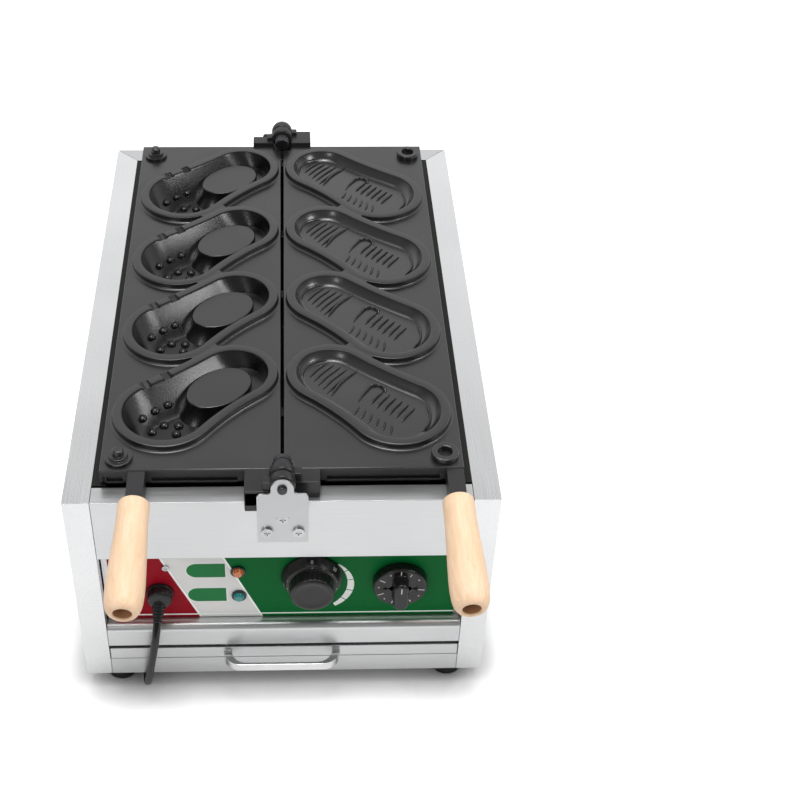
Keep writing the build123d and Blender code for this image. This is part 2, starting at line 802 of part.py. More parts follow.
def along_clog(distance, offset, side):
    """Point at a distance from the heel towards the toe, and an offset towards the front."""
    heel = Vector(side * heel_centre[0], heel_centre[1])
    toe = Vector(side * toe_centre[0], toe_centre[1])
    along = (toe - heel).normalized()
    across = Vector(-along.Y, along.X) * -side
    return along * distance + across * offset


clog_span = math.dist(heel_centre, toe_centre)
clog_reach = clog_span + toe_radius
clog_angle = math.degrees(math.atan2(toe_centre[1] - heel_centre[1], toe_centre[0] - heel_centre[0]))
shoe_steps = ((-0.04, -0.2), (0.3, 2.2), (0.6, 6.5), (0.85, 12.5), (1.0, 20.0))
sole_steps = ((-0.1, -0.1), (0.5, 1.2), (0.85, 3.0), (1.0, 6.0))

# One shoe mould for the left plate: rim, cup, toe dome with bumps, heel plateau in its groove
left_turn = 180 - clog_angle
with BuildPart() as shoe_mould:
    with BuildSketch(Plane.XY.offset(-rim_height - 1)):
        add(clog_outline(rim_width, -1))
    extrude(amount=rim_height + 1)
    fillet(shoe_mould.edges().group_by(Axis.Z)[-1], 1.0)
    with BuildSketch(Plane.XY.offset(-shoe_depth - cup_wall)):
        add(clog_outline(cup_wall, -1))
    extrude(amount=shoe_depth + cup_wall - 1)
    add(clog_bowl(shoe_depth, shoe_steps, -1), mode=Mode.SUBTRACT)
    with BuildSketch(Plane.XY.offset(-shoe_depth - 1)):
        add(clog_outline(0.5, -1))
        with Locations(Location(along_clog(groove_end + clog_reach, 0, -1), (0, 0, left_turn))):
            Rectangle(2 * clog_reach, 2 * clog_reach, mode=Mode.SUBTRACT)
    extrude(amount=shoe_depth + 1 - groove_depth)
    with BuildSketch(Plane.XY.offset(-shoe_depth - 0.5)):
        with Locations(Location(along_clog(plateau_foot_centre, 0, -1), (0, 0, left_turn))):
            Ellipse(*plateau_foot_radii)
    with BuildSketch(Plane.XY.offset(-plateau_depth)):
        with Locations(Location(along_clog(plateau_centre, 0, -1), (0, 0, left_turn))):
            Ellipse(*plateau_radii)
    loft()
    for distance, offset in bump_spots:
        spot = along_clog(clog_span + distance, offset, -1)
        if distance < 0:
            inset = waist_half(distance) - abs(offset)
        else:
            inset = toe_radius - math.hypot(distance, offset)
        with Locations((spot.X, spot.Y, -bowl_depth(shoe_depth, shoe_steps, inset))):
            Sphere(bump_radius)
    for distance in notch_distances:
        notch = along_clog(clog_span + distance, notch_inset - waist_half(distance), -1)
        with Locations(Location((notch.X, notch.Y, -notch_size[2] / 2), (0, 0, left_turn))):
            Box(*notch_size, mode=Mode.SUBTRACT)

# One sole mould for the right plate: rim, cup and a tread of raised bars
right_turn = clog_angle
with BuildPart() as sole_mould:
    with BuildSketch(Plane.XY.offset(-rim_height - 1)):
        add(clog_outline(rim_width, 1))
    extrude(amount=rim_height + 1)
    fillet(sole_mould.edges().group_by(Axis.Z)[-1], 1.0)
    with BuildSketch(Plane.XY.offset(-sole_depth - cup_wall)):
        add(clog_outline(cup_wall, 1))
    extrude(amount=sole_depth + cup_wall - 1)
    add(clog_bowl(sole_depth, sole_steps, 1), mode=Mode.SUBTRACT)
    with BuildSketch(Plane.XY.offset(-sole_depth)):
        for index in range(6):
            bar_length = 30 - 1.6 * abs(index - 2.5) ** 1.5
            spot = along_clog(index * 5.6 - 12, 0, 1)
            with Locations(Location(spot, (0, 0, right_turn + 82))):
                SlotOverall(bar_length, 2.6)
        for index in range(9):
            for hand in (-1, 1):
                finger_length = 22 - 1.1 * abs(index - 4) ** 1.3
                spot = along_clog(clog_span - 28 + index * 5.6, hand * (finger_length / 2 + 1.5), 1)
                with Locations(Location(spot, (0, 0, right_turn + 90 + hand * 18))):
                    SlotOverall(finger_length, 2.6)
    extrude(amount=tread_height)

# Mould plates: slab, skirt with open windows, moulds joined by webs, relief for the pin heads
studs_x = plate_outer - 15.0
stud_ys = (plate_front + 14.0, plate_rear - 20.0)
mould_ys = [front + heel_centre[1] + index * mould_pitch for index in range(mould_count)]
slab_bottom = plate_top - plate_thickness
plate_makes = ((-1, "left_mould_plate", shoe_mould), (1, "right_mould_plate", sole_mould))
for side, node, mould in plate_makes:
    to_next_toe = Vector(
        side * (toe_centre[0] - heel_centre[0]),
        toe_centre[1] - heel_centre[1] + mould_pitch,
    )
    web_share = (heel_radius + rim_width) / (heel_radius + toe_radius + 2 * rim_width)
    web_turn = math.degrees(math.atan2(to_next_toe.Y, to_next_toe.X)) + 90
    with BuildPart() as plate:
        plate_x = (side * plate_inner, side * plate_outer)
        block(plate_x, (plate_front, plate_rear), (skirt_bottom, plate_top))
        inner_x = (side * (plate_inner + plate_skirt_wall), side * (plate_outer - plate_skirt_wall))
        inner_y = (plate_front + plate_skirt_wall, plate_rear - plate_skirt_wall)
        block(inner_x, inner_y, (skirt_bottom, slab_bottom), mode=Mode.SUBTRACT)
        with BuildSketch(Plane.XY.offset(plate_top - 1)):
            for y in mould_ys[:-1]:
                spot = Vector(side * heel_centre[0], y) + to_next_toe * web_share
                with Locations(Location(spot, (0, 0, web_turn))):
                    Rectangle(web_length, web_width)
        extrude(amount=rim_height + 1 - 0.4)
        with BuildSketch(Plane.XY.offset(skirt_bottom - 1)):
            for y in mould_ys:
                with Locations((side * heel_centre[0], y)):
                    add(clog_outline(1.0, side))
        extrude(amount=plate_skirt_height + rim_height + 3, mode=Mode.SUBTRACT)
        with Locations(*[(side * heel_centre[0], y, parting - parting_gap) for y in mould_ys]):
            add(mould.part)
        for face, inward in ((front, 1), (rear, -1)):
            relief_y = face + inward * (head_start + pin_head_length / 2)
            relief_length = pin_head_length + 2 * knuckle_gap + 1
            rod((0, relief_y, parting), pin_head_radius + 0.6, relief_length, "Y", mode=Mode.SUBTRACT)
        for window_x in ((arm_outer + 6, left_handle_x - 12), (left_handle_x + 12, plate_outer - 6)):
            for y in (plate_front, plate_rear):
                window = (side * window_x[0], side * window_x[1])
                window_z = (skirt_bottom + 3, slab_bottom)
                block(window, (y - 2.5, y + 2.5), window_z, mode=Mode.SUBTRACT)
    write(plate, node)

# Locating studs on the left plate, and the sockets on the right plate that take them
stud_spots = [(-studs_x, y) for y in stud_ys]
socket_spots = [(studs_x, y) for y in stud_ys]
with BuildPart() as left_locating_studs:
    with BuildSketch(Plane.XY.offset(plate_top)):
        with Locations(*stud_spots):
            Circle(11.5)
    extrude(amount=3)
    with BuildSketch(Plane.XY.offset(plate_top + 3)):
        with Locations(*stud_spots):
            Circle(8.0)
    extrude(amount=rim_height - 3.4)
    with BuildSketch(Plane.XY.offset(plate_top + rim_height - 0.4)):
        with Locations(*stud_spots):
            Circle(4.8)
    extrude(amount=5.5)
    chamfer(left_locating_studs.edges().group_by(Axis.Z)[-1], 1.2)
write(left_locating_studs, "left_locating_studs")

with BuildPart() as right_locating_sockets:
    with BuildSketch(Plane.XY.offset(plate_top)):
        with Locations(*socket_spots):
            Circle(11.5)
            Circle(6.0, mode=Mode.SUBTRACT)
    extrude(amount=rim_height - 0.4)
    chamfer(right_locating_sockets.edges().group_by(Axis.Z)[-1], 0.8)
write(right_locating_sockets, "right_locating_sockets")

# Handle bars with their studs, wooden grips and the nuts in the grips' end holes
bar_top = plate_top - 1.0
bar_z = (bar_top - handle_bar_height, bar_top)
droop = math.radians(grip_droop)
splay = math.radians(grip_splay)
grip_start_z = bar_top - 6.0
handle_sides = ((-1, "left", left_handle_x), (1, "right", right_handle_x))
for side, hand, handle_x in handle_sides:
    grip_axis = Vector(side * math.sin(splay), -math.cos(droop) * math.cos(splay), -math.sin(droop))
    grip_start = Vector(side * handle_x, front - grip_start_reach, grip_start_z)
    with BuildPart() as handle_bar:
        bar_x = (side * handle_x - handle_bar_width / 2, side * handle_x + handle_bar_width / 2)
        block(bar_x, (front - handle_bar_reach, plate_front), bar_z)
        stud_plane = Plane(origin=grip_start - grip_axis * 8, z_dir=grip_axis)
        with BuildSketch(stud_plane):
            Circle(grip_stud_radius)
        extrude(amount=8 + grip_length - grip_hole_depth + 7)
    write(handle_bar, f"{hand}_handle_bar")

    profile_plane = Plane(origin=grip_start, x_dir=grip_axis, z_dir=Vector(0, 0, 1).cross(grip_axis))
    with BuildPart() as grip:
        with BuildSketch(profile_plane):
            with BuildLine():
                Line((0, grip_stud_radius + 0.1), (0, grip_neck_radius - 1.5))
                ThreePointArc(
                    (0, grip_neck_radius - 1.5),
                    (0.5, grip_neck_radius - 0.4),
                    (1.5, grip_neck_radius),
                )
                Spline(
                    (1.5, grip_neck_radius),
                    (0.28 * grip_length, grip_neck_radius + 0.4),
                    (0.72 * grip_length, grip_belly_radius),
                    (0.95 * grip_length, grip_belly_radius - 1.3),
                )
                ThreePointArc(
                    (0.95 * grip_length, grip_belly_radius - 1.3),
                    (0.985 * grip_length, grip_belly_radius - 3.4),
                    (grip_length, grip_hole_radius + 1.2),
                )
                Line((grip_length, grip_hole_radius + 1.2), (grip_length, grip_hole_radius))
                Line((grip_length, grip_hole_radius), (grip_length - grip_hole_depth, grip_hole_radius))
                Line(
                    (grip_length - grip_hole_depth, grip_hole_radius),
                    (grip_length - grip_hole_depth, grip_stud_radius + 0.1),
                )
                Line((grip_length - grip_hole_depth, grip_stud_radius + 0.1), (0, grip_stud_radius + 0.1))
            make_face()
        revolve(axis=Axis(grip_start, grip_axis))
    write(grip, f"{hand}_grip")

    nut_plane = Plane(origin=grip_start + grip_axis * (grip_length - grip_hole_depth), z_dir=grip_axis)
    with BuildPart() as grip_nut:
        with BuildSketch(nut_plane):
            RegularPolygon(6.8, 6)
            Circle(grip_stud_radius, mode=Mode.SUBTRACT)
        extrude(amount=5)
    write(grip_nut, f"{hand}_grip_nut")

# Drawer: tray with side flanges, front panel and bow handle
tray_half = opening_half - 8.0
tray_bottom = drawer_bottom + sheet
tray_top = drawer_front_top - sheet
tray_y = (front + sheet, front + sheet + drawer_length)
flange_half = opening_half - 3.0
with BuildPart() as drawer_tray:
    block((-tray_half, tray_half), tray_y, (tray_bottom, tray_top))
    hollow_x = (-(tray_half - drawer_wall), tray_half - drawer_wall)
    hollow_y = (tray_y[0] + drawer_wall, tray_y[1] - drawer_wall)
    block(hollow_x, hollow_y, (tray_bottom + drawer_wall, tray_top + 1), mode=Mode.SUBTRACT)
    for side in (-1, 1):
        flange_y = (tray_y[0] + 8, tray_y[1])
        block((side * tray_half, side * flange_half), flange_y, (tray_top - drawer_wall, tray_top))
write(drawer_tray, "drawer_tray")

with BuildPart() as drawer_front:
    drawer_half = opening_half - 0.8
    block((-drawer_half, drawer_half), (front, front + sheet), (drawer_bottom, drawer_front_top))
    for fold_z in ((drawer_bottom, tray_bottom), (tray_top, drawer_front_top)):
        block((-drawer_half, drawer_half), (front, front + sheet + 7), fold_z)
write(drawer_front, "drawer_front")

handle_z = drawer_bottom + 0.2
half_span = handle_span / 2
inner_half = half_span - handle_root
inner_reach = handle_projection - handle_thickness
with BuildPart() as drawer_handle:
    with BuildSketch(Plane(origin=(drawer_handle_x, front, handle_z), z_dir=(0, 0, 1))):
        with BuildLine():
            FilletPolyline(
                (-half_span, 0),
                (-half_span, -handle_projection),
                (half_span, -handle_projection),
                (half_span, 0),
                radius=handle_radius,
            )
            Line((half_span, 0), (inner_half, 0))
            FilletPolyline(
                (inner_half, 0),
                (inner_half, -inner_reach),
                (-inner_half, -inner_reach),
                (-inner_half, 0),
                radius=handle_radius - handle_thickness,
            )
            Line((-inner_half, 0), (-half_span, 0))
        make_face()
    extrude(amount=handle_height)
write(drawer_handle, "drawer_handle")

# Runners that carry the drawer's flanges, screwed to the side panels
runner_top = tray_top - drawer_wall - piece_gap
with BuildPart() as drawer_runners:
    for side in (-1, 1):
        wall_x = side * (half_width - sheet)
        runner_y = (front + flange_lip + 1, tray_y[1] + 6)
        block((side * (tray_half + 1), wall_x), runner_y, (runner_top - 1.5, runner_top))
        block((wall_x, wall_x - side * 1.5), runner_y, (runner_top - 16, runner_top))
        stop_y = (tray_y[1] + 1, tray_y[1] + 6)
        block((side * (tray_half + 1), side * flange_half), stop_y, (runner_top - 1.5, tray_top))
write(drawer_runners, "drawer_runners")

# Small pan-head screws that fasten the control panel
with BuildPart() as panel_screws:
    for x, z in ((gland_x + 6.7, upper_panel_bottom - 23.5), (panel_half - 12, upper_panel_bottom - 11.5)):
        rod((x, label_face - 0.9, z), 3.0, 1.8, "Y")
        block((x - 2, x + 2), (label_face - 1.8, label_face - 1.0), (z - 0.4, z + 0.4), mode=Mode.SUBTRACT)
        block((x - 0.4, x + 0.4), (label_face - 1.8, label_face - 1.0), (z - 2, z + 2), mode=Mode.SUBTRACT)
write(panel_screws, "panel_screws")

# Cord gland: flange against the label, barrel through the panel, boot that turns down
boot_angle = math.radians(50)
boot_axis = Vector(-0.1, -math.cos(boot_angle), -math.sin(boot_angle)).normalized()
boot_root = Vector(gland_x, label_face - 4, gland_z)
boot_length = 14.0
cord_radius = cord_diameter / 2
with BuildPart() as cord_gland:
    rod((gland_x, label_face - 2, gland_z), 10.0, 4, "Y")
    rod((gland_x, panel_face + 4, gland_z), 6.4, 18, "Y")
    with BuildSketch(Plane(origin=boot_root - boot_axis * 2, z_dir=boot_axis)):
        Circle(7.0)
    with BuildSketch(Plane(origin=boot_root + boot_axis * boot_length, z_dir=boot_axis)):
        Circle(5.0)
    loft()
    block(
        (gland_x - 12, gland_x + 12),
        (panel_face + 13, panel_face + 30),
        (gland_z - 12, gland_z + 12),
        mode=Mode.SUBTRACT,
    )
write(cord_gland, "cord_gland")
cord_exit = boot_root + boot_axis * boot_length


def corner_radii(points):
    """Largest arc that each corner of a cord's route leaves room for."""
    radii = []
    for before, corner, after in zip(points, points[1:], points[2:]):
        turn = math.radians((corner - before).get_angle(after - corner))
        run = min((corner - before).length, (after - corner).length)
        radii.append(0.45 * run / math.tan(turn / 2))
    return radii


def cord_tube(name, points):
    """Sweep the cord's round section along straight runs joined by tangent arcs."""
    radii = corner_radii(points)
    with BuildPart() as tube:
        with BuildLine() as route:
            FilletPolyline(*points, radius=radii)
        with BuildSketch(Plane(origin=points[0], z_dir=points[1] - points[0])):
            Circle(cord_radius)
        sweep(path=route.line)
    length = route.wire().length
    ideal = math.pi * cord_radius**2 * length
    print(name, "arc radii", [round(radius, 1) for radius in radii])
    print(name, "length", round(length, 1), "volume share", round(tube.part.volume / ideal, 4))
    return tube


# Cord, first stretch: out of the boot, down past the drawer and under the front edge
drop_points = [
    cord_exit,
    cord_exit + boot_axis * 24,
    Vector(gland_x - 9.5, front - 18.5, 58),
    Vector(gland_x - 14.0, front - 17, 32.2),
    Vector(gland_x - 17.0, front - 6.5, 14),
    Vector(gland_x - 19.0, front + 11.7, cord_radius),
    Vector(gland_x - 20.0, front + 32.0, cord_radius),
]
power_cord_drop = cord_tube("drop", drop_points)
write(power_cord_drop, "power_cord_drop")

# Cord, second stretch: along the surface under the casing and out behind it
coil_radius = 46.0
coil_pitch = cord_diameter + 0.7
coil_turns = 4
coil_lift = coil_tie_sheet + cord_radius
coil_centre = Vector(gland_x - 15.5 + coil_radius, rear + 66.0)
coil_start = Vector(coil_centre.X - coil_radius, coil_centre.Y, coil_lift)
run_points = [
    drop_points[-1],
    Vector(gland_x - 22.66, front + 86, cord_radius),
    Vector(gland_x - 15.0, front + 160, cord_radius),
    Vector(gland_x - 24.0, front + 240, cord_radius),
    Vector(gland_x - 13.0, front + 320, cord_radius),
    Vector(gland_x - 22.0, front + 400, cord_radius),
    Vector(gland_x - 12.0, front + 478, cord_radius),
    Vector(coil_start.X, rear + 8, coil_lift),
    coil_start - Vector(0, cord_diameter, 0),
]
power_cord_run = cord_tube("run", run_points)
write(power_cord_run, "power_cord_run")


def coil_point(turn):
    """Point of the coil after a number of turns: in on the lower layer, out on the upper one."""
    half = coil_turns / 2
    radius = coil_radius - coil_pitch * (half - abs(turn - half))
    climb = min(max((turn - half + 0.25) / 0.5, 0.0), 1.0)
    height = coil_lift + coil_pitch * climb * climb * (3 - 2 * climb)
    angle = math.pi - 2 * math.pi * turn
    return coil_centre + Vector(radius * math.cos(angle), radius * math.sin(angle), height)


def biarc(start, start_way, end, end_way):
    """Two arcs that leave start along one direction and reach end along another."""
    gap = end - start
    both = start_way + end_way
    spread = 2 * (1 - start_way.dot(end_way))
    reach = gap.dot(both)
    if spread < 1e-9:
        size = gap.dot(gap) / (4 * gap.dot(end_way))
    else:
        size = (math.sqrt(reach**2 + spread * gap.dot(gap)) - reach) / spread
    join = (start + end + (start_way - end_way) * size) * 0.5
    first = TangentArc(start, join, tangent=start_way)
    TangentArc(join, end, tangent=first % 1)


# Cord, third stretch: a neat coil of two layers, and the end that rises to the plug
plug_radius = 14.0
quarter = 0.25
step = 1e-4
turns = [index * quarter for index in range(round(coil_turns / quarter) + 1)]
stations = [coil_point(turn) for turn in turns]
ways = [(coil_point(turn + step) - coil_point(turn - step)).normalized() for turn in turns]
ways[0] = Vector(0, 1, 0)
plug_entry = coil_point(coil_turns) + Vector(-9, 46, plug_radius - coil_lift - coil_pitch)
stations.append(plug_entry)
ways.append(Vector(0, 1, 0))
with BuildPart() as power_cord_coil:
    with BuildLine() as coil_path:
        Line(run_points[-1], coil_start)
        for before, after in zip(range(len(stations)), range(1, len(stations))):
            biarc(stations[before], ways[before], stations[after], ways[after])
        Line(plug_entry, plug_entry + Vector(0, cord_diameter, 0))
    with BuildSketch(Plane(origin=run_points[-1], z_dir=(0, 1, 0))):
        Circle(cord_radius)
    sweep(path=coil_path.line)
write(power_cord_coil, "power_cord_coil")

coil_wire = coil_path.wire()
coil_samples = [coil_wire @ (index / 900) for index in range(901)]
sample_gap = coil_wire.length / 900
skip = math.ceil(math.pi * cord_diameter / sample_gap)
least_gap = min(
    (a - b).length - cord_diameter
    for index, a in enumerate(coil_samples)
    for b in coil_samples[index + skip :]
)
print("coil length", round(coil_wire.length, 1), "least gap to itself", round(least_gap, 2))

# Tie round the turns of the coil, on the side away from the plug
with BuildPart() as cord_tie:
    inner_edge = coil_radius - coil_pitch * 1.5 - cord_radius
    outer_edge = coil_radius - coil_pitch * 0.5 + cord_radius
    tie_x = (coil_centre.X + inner_edge - 0.6, coil_centre.X + outer_edge + 0.6)
    tie_z = (coil_tie_sheet - 0.3, coil_lift + coil_pitch + cord_radius + 0.4)
    tie_y = (coil_centre.Y - 4, coil_centre.Y + 4)
    wall = coil_tie_sheet - 0.3
    block((tie_x[0] - wall, tie_x[1] + wall), tie_y, (tie_z[0] - wall, tie_z[1] + wall))
    block(tie_x, (tie_y[0] - 1, tie_y[1] + 1), tie_z, mode=Mode.SUBTRACT)
write(cord_tie, "cord_tie")

# Plug: tapered strain relief, round body and two round pins
plug_back = plug_entry + Vector(0, cord_diameter, 0)
plug_section = Plane(origin=plug_back, x_dir=(0, 1, 0), z_dir=(1, 0, 0))
with BuildPart() as power_plug:
    with BuildSketch(plug_section):
        with BuildLine():
            Polyline(
                (0, 0),
                (0, cord_radius + 1.5),
                (20, cord_radius + 3.5),
                (22, plug_radius - 3),
                (28, plug_radius),
                (50, plug_radius),
                (54, plug_radius - 1.5),
                (54, 0),
                close=True,
            )
        make_face()
    revolve(axis=Axis(plug_back, (0, 1, 0)))
    for x in (-9.5, 9.5):
        rod((plug_back.X + x, plug_back.Y + 54 + 9, plug_back.Z), 2.4, 20, "Y")
write(power_plug, "power_plug")
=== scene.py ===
import json
import math

import bmesh
import bpy
from mathutils import Matrix, Vector

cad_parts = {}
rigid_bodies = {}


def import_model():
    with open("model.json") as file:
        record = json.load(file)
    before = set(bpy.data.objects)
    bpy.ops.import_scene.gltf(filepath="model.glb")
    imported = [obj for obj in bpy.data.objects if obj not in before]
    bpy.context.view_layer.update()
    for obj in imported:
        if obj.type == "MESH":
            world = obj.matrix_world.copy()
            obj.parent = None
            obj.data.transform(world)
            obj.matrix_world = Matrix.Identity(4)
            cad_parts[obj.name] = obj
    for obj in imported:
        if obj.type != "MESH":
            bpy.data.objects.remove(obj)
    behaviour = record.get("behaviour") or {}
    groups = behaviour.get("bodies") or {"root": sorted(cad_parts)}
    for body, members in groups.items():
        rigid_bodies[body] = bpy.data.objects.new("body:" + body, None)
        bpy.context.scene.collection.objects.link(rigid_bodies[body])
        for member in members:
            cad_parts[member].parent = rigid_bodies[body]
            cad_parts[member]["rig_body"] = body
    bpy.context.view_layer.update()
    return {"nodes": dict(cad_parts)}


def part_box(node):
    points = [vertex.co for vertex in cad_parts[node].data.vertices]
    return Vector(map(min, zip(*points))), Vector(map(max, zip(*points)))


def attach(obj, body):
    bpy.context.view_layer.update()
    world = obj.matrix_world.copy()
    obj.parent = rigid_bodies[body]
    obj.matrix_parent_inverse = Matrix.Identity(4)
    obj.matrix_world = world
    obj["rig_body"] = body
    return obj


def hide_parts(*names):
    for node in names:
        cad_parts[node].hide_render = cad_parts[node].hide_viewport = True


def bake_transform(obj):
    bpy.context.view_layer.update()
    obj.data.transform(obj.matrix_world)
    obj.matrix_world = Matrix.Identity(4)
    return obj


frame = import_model()
nodes = frame["nodes"]
scene = bpy.context.scene
MM = 0.001

# Sizes that follow from the frame, in metres
label_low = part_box("panel_label")[0]
label_face = label_low.y
casing_low, casing_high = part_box("side_panel_left")
front = casing_low.y
rear = casing_high.y


def mm(*values):
    """Point or size given in millimetres, as metres."""
    return Vector([value * MM for value in values])


def linear(code):
    """Linear colour of an sRGB hex value."""
    channels = [int(code[start : start + 2], 16) / 255 for start in (1, 3, 5)]
    return (*(c / 12.92 if c <= 0.04045 else ((c + 0.055) / 1.055) ** 2.4 for c in channels), 1.0)


def add_node(tree, kind, inputs, **settings):
    """Add a shader node with its settings, its inputs' values and its links."""
    made = tree.nodes.new(kind)
    for name, value in settings.items():
        setattr(made, name, value)
    for socket, value in inputs.items():
        if isinstance(value, bpy.types.NodeSocket):
            tree.links.new(value, made.inputs[socket])
        else:
            made.inputs[socket].default_value = value
    return made


def blank_material(name):
    """Material with an empty node tree, and the socket that gives its Object coordinates."""
    made = bpy.data.materials.new(name)
    made.use_nodes = True
    made.node_tree.nodes.clear()
    place = add_node(made.node_tree, "ShaderNodeTexCoord", {})
    return made, made.node_tree, place.outputs["Object"]


def show(tree, inputs):
    """Principled shader with these inputs, wired to the material's output."""
    shader = add_node(tree, "ShaderNodeBsdfPrincipled", inputs)
    add_node(tree, "ShaderNodeOutputMaterial", {"Surface": shader.outputs[0]})


def mottled(tree, first, second, light, dark):
    """Colour that goes between two close tones with the sum of two noises."""
    tone = add_node(tree, "ShaderNodeMath", {0: first.outputs[0], 1: second.outputs[0]}, operation="ADD")
    limits = {"Value": tone.outputs[0], "From Min": 0.75, "From Max": 1.25}
    share = add_node(tree, "ShaderNodeMapRange", limits)
    tones = {0: share.outputs[0], 6: linear(dark), 7: linear(light)}
    return add_node(tree, "ShaderNodeMix", tones, data_type="RGBA").outputs[2]


def brushed_stainless(name, across, light, dark, rough):
    """Brushed 201 stainless sheet: fine streaks along the brush blur what it mirrors."""
    made, tree, place = blank_material(name)
    stretched = add_node(tree, "ShaderNodeMapping", {"Vector": place, "Scale": across}).outputs[0]
    streaks = add_node(tree, "ShaderNodeTexNoise", {"Vector": stretched, "Scale": 1.0, "Detail": 3.0})
    clouds = add_node(tree, "ShaderNodeTexNoise", {"Vector": place, "Scale": 9.0, "Detail": 2.0})
    limits = {"From Min": 0.3, "From Max": 0.7, "To Min": rough - 0.05, "To Max": rough + 0.07}
    gloss = add_node(tree, "ShaderNodeMapRange", {"Value": streaks.outputs[0]} | limits)
    colour = mottled(tree, streaks, clouds, light, dark)
    show(tree, {"Base Color": colour, "Metallic": 1.0, "Roughness": gloss.outputs[0]})
    return made


def grained(
    name, light, dark, rough, grain_mm, metallic=0.0, relief_mm=0.05, specular=0.5, coat=0.0, coat_rough=0.1
):
    """Plain finish with a fine grain: two close colours, an uneven gloss and a shallow relief."""
    made, tree, place = blank_material(name)
    fineness = 1 / (grain_mm * MM)
    grain = add_node(tree, "ShaderNodeTexNoise", {"Vector": place, "Scale": fineness, "Detail": 3.0})
    clouds = add_node(tree, "ShaderNodeTexNoise", {"Vector": place, "Scale": 14.0, "Detail": 2.0})
    limits = {"From Min": 0.3, "From Max": 0.7, "To Min": rough - 0.05, "To Max": rough + 0.05}
    gloss = add_node(tree, "ShaderNodeMapRange", {"Value": clouds.outputs[0]} | limits)
    bumps = {"Height": grain.outputs[0], "Strength": 0.3, "Distance": relief_mm * MM}
    relief = add_node(tree, "ShaderNodeBump", bumps)
    show(
        tree,
        {
            "Base Color": mottled(tree, grain, clouds, light, dark),
            "Metallic": metallic,
            "Roughness": gloss.outputs[0],
            "Specular IOR Level": specular,
            "Coat Weight": coat,
            "Coat Roughness": coat_rough,
            "Normal": relief.outputs[0],
        },
    )
    return made


def turned_beech():
    """Beech turned on a lathe and sanded: pale grain along the grip, with short darker flecks."""
    made, tree, place = blank_material("turned_beech")
    along = add_node(tree, "ShaderNodeMapping", {"Vector": place, "Scale": (1.0, 0.09, 1.0)}).outputs[0]
    ring_noise = {"Vector": along, "Scale": 1 / (3.5 * MM), "Detail": 4.0, "Distortion": 0.6}
    rings = add_node(tree, "ShaderNodeTexNoise", ring_noise)
    flecks = add_node(tree, "ShaderNodeTexNoise", {"Vector": along, "Scale": 1 / (0.7 * MM), "Detail": 1.0})
    limits = {"Value": rings.outputs[0], "From Min": 0.32, "From Max": 0.68}
    streak = add_node(tree, "ShaderNodeMapRange", limits)
    tones = {0: streak.outputs[0], 6: linear("#E9C4A0"), 7: linear("#F1D2B2")}
    wood = add_node(tree, "ShaderNodeMix", tones, data_type="RGBA")
    limits = {"Value": flecks.outputs[0], "From Min": 0.6, "From Max": 0.74, "To Max": 0.3}
    fleck = add_node(tree, "ShaderNodeMapRange", limits)
    tones = {0: fleck.outputs[0], 6: wood.outputs[2], 7: linear("#D3A57C")}
    colour = add_node(tree, "ShaderNodeMix", tones, data_type="RGBA")
    bumps = {"Height": rings.outputs[0], "Strength": 0.25, "Distance": 0.08 * MM}
    relief = add_node(tree, "ShaderNodeBump", bumps)
    show(tree, {"Base Color": colour.outputs[2], "Roughness": 0.52, "Normal": relief.outputs[0]})
    return made


def printed_label():
    """Screen-printed polyester label: slanted red, white and green bands above a white line."""
    made, tree, place = blank_material("printed_label")
    slant = 0.414
    red_edge = -40.2 * MM
    green_edge = 15.8 * MM
    line_width = 1.7 * MM
    rule_height = label_low.z + 3.6 * MM
    rule_width = 1.5 * MM
    across = add_node(tree, "ShaderNodeVectorMath", {0: place, 1: (1.0, 0.0, slant)}, operation="DOT_PRODUCT")
    at = across.outputs["Value"]
    colour = linear("#940A1F")
    for edge, ink in (
        (red_edge, "#FFFFFF"),
        (red_edge + line_width, "#E3E3E1"),
        (green_edge - line_width, "#FFFFFF"),
        (green_edge, "#00642C"),
    ):
        past = add_node(tree, "ShaderNodeMath", {0: at, 1: edge}, operation="GREATER_THAN")
        tones = {0: past.outputs[0], 6: colour, 7: linear(ink)}
        colour = add_node(tree, "ShaderNodeMix", tones, data_type="RGBA").outputs[2]
    split = add_node(tree, "ShaderNodeSeparateXYZ", {"Vector": place})
    on_rule = {0: split.outputs["Z"], 1: rule_height, 2: rule_width / 2}
    rule = add_node(tree, "ShaderNodeMath", on_rule, operation="COMPARE")
    tones = {0: rule.outputs[0], 6: colour, 7: linear("#F4FFF6")}
    ruled = add_node(tree, "ShaderNodeMix", tones, data_type="RGBA").outputs[2]
    specks = add_node(tree, "ShaderNodeTexNoise", {"Vector": place, "Scale": 1 / (1.5 * MM), "Detail": 2.0})
    bumps = {"Height": specks.outputs[0], "Strength": 0.1, "Distance": 0.02 * MM}
    relief = add_node(tree, "ShaderNodeBump", bumps).outputs[0]
    show(tree, {"Base Color": ruled, "Roughness": 0.45, "Specular IOR Level": 0.1, "Normal": relief})
    return made


def tinted_lens(name, colour, deep):
    """Tinted acrylic lens with fine moulded ribs that scatter the light inside it."""
    made, tree, place = blank_material(name)
    waves = {"Vector": place, "Scale": 1 / (5.0 * MM), "Distortion": 0.5}
    ribs = add_node(tree, "ShaderNodeTexWave", waves, bands_direction="X").outputs["Fac"]
    tint = add_node(tree, "ShaderNodeMix", {0: ribs, 6: linear(deep), 7: linear(colour)}, data_type="RGBA")
    relief = add_node(tree, "ShaderNodeBump", {"Height": ribs, "Strength": 0.5, "Distance": 0.2 * MM})
    show(
        tree,
        {
            "Base Color": tint.outputs[2],
            "Roughness": 0.12,
            "IOR": 1.49,
            "Transmission Weight": 0.25,
            "Coat Weight": 0.6,
            "Normal": relief.outputs[0],
        },
    )
    return made


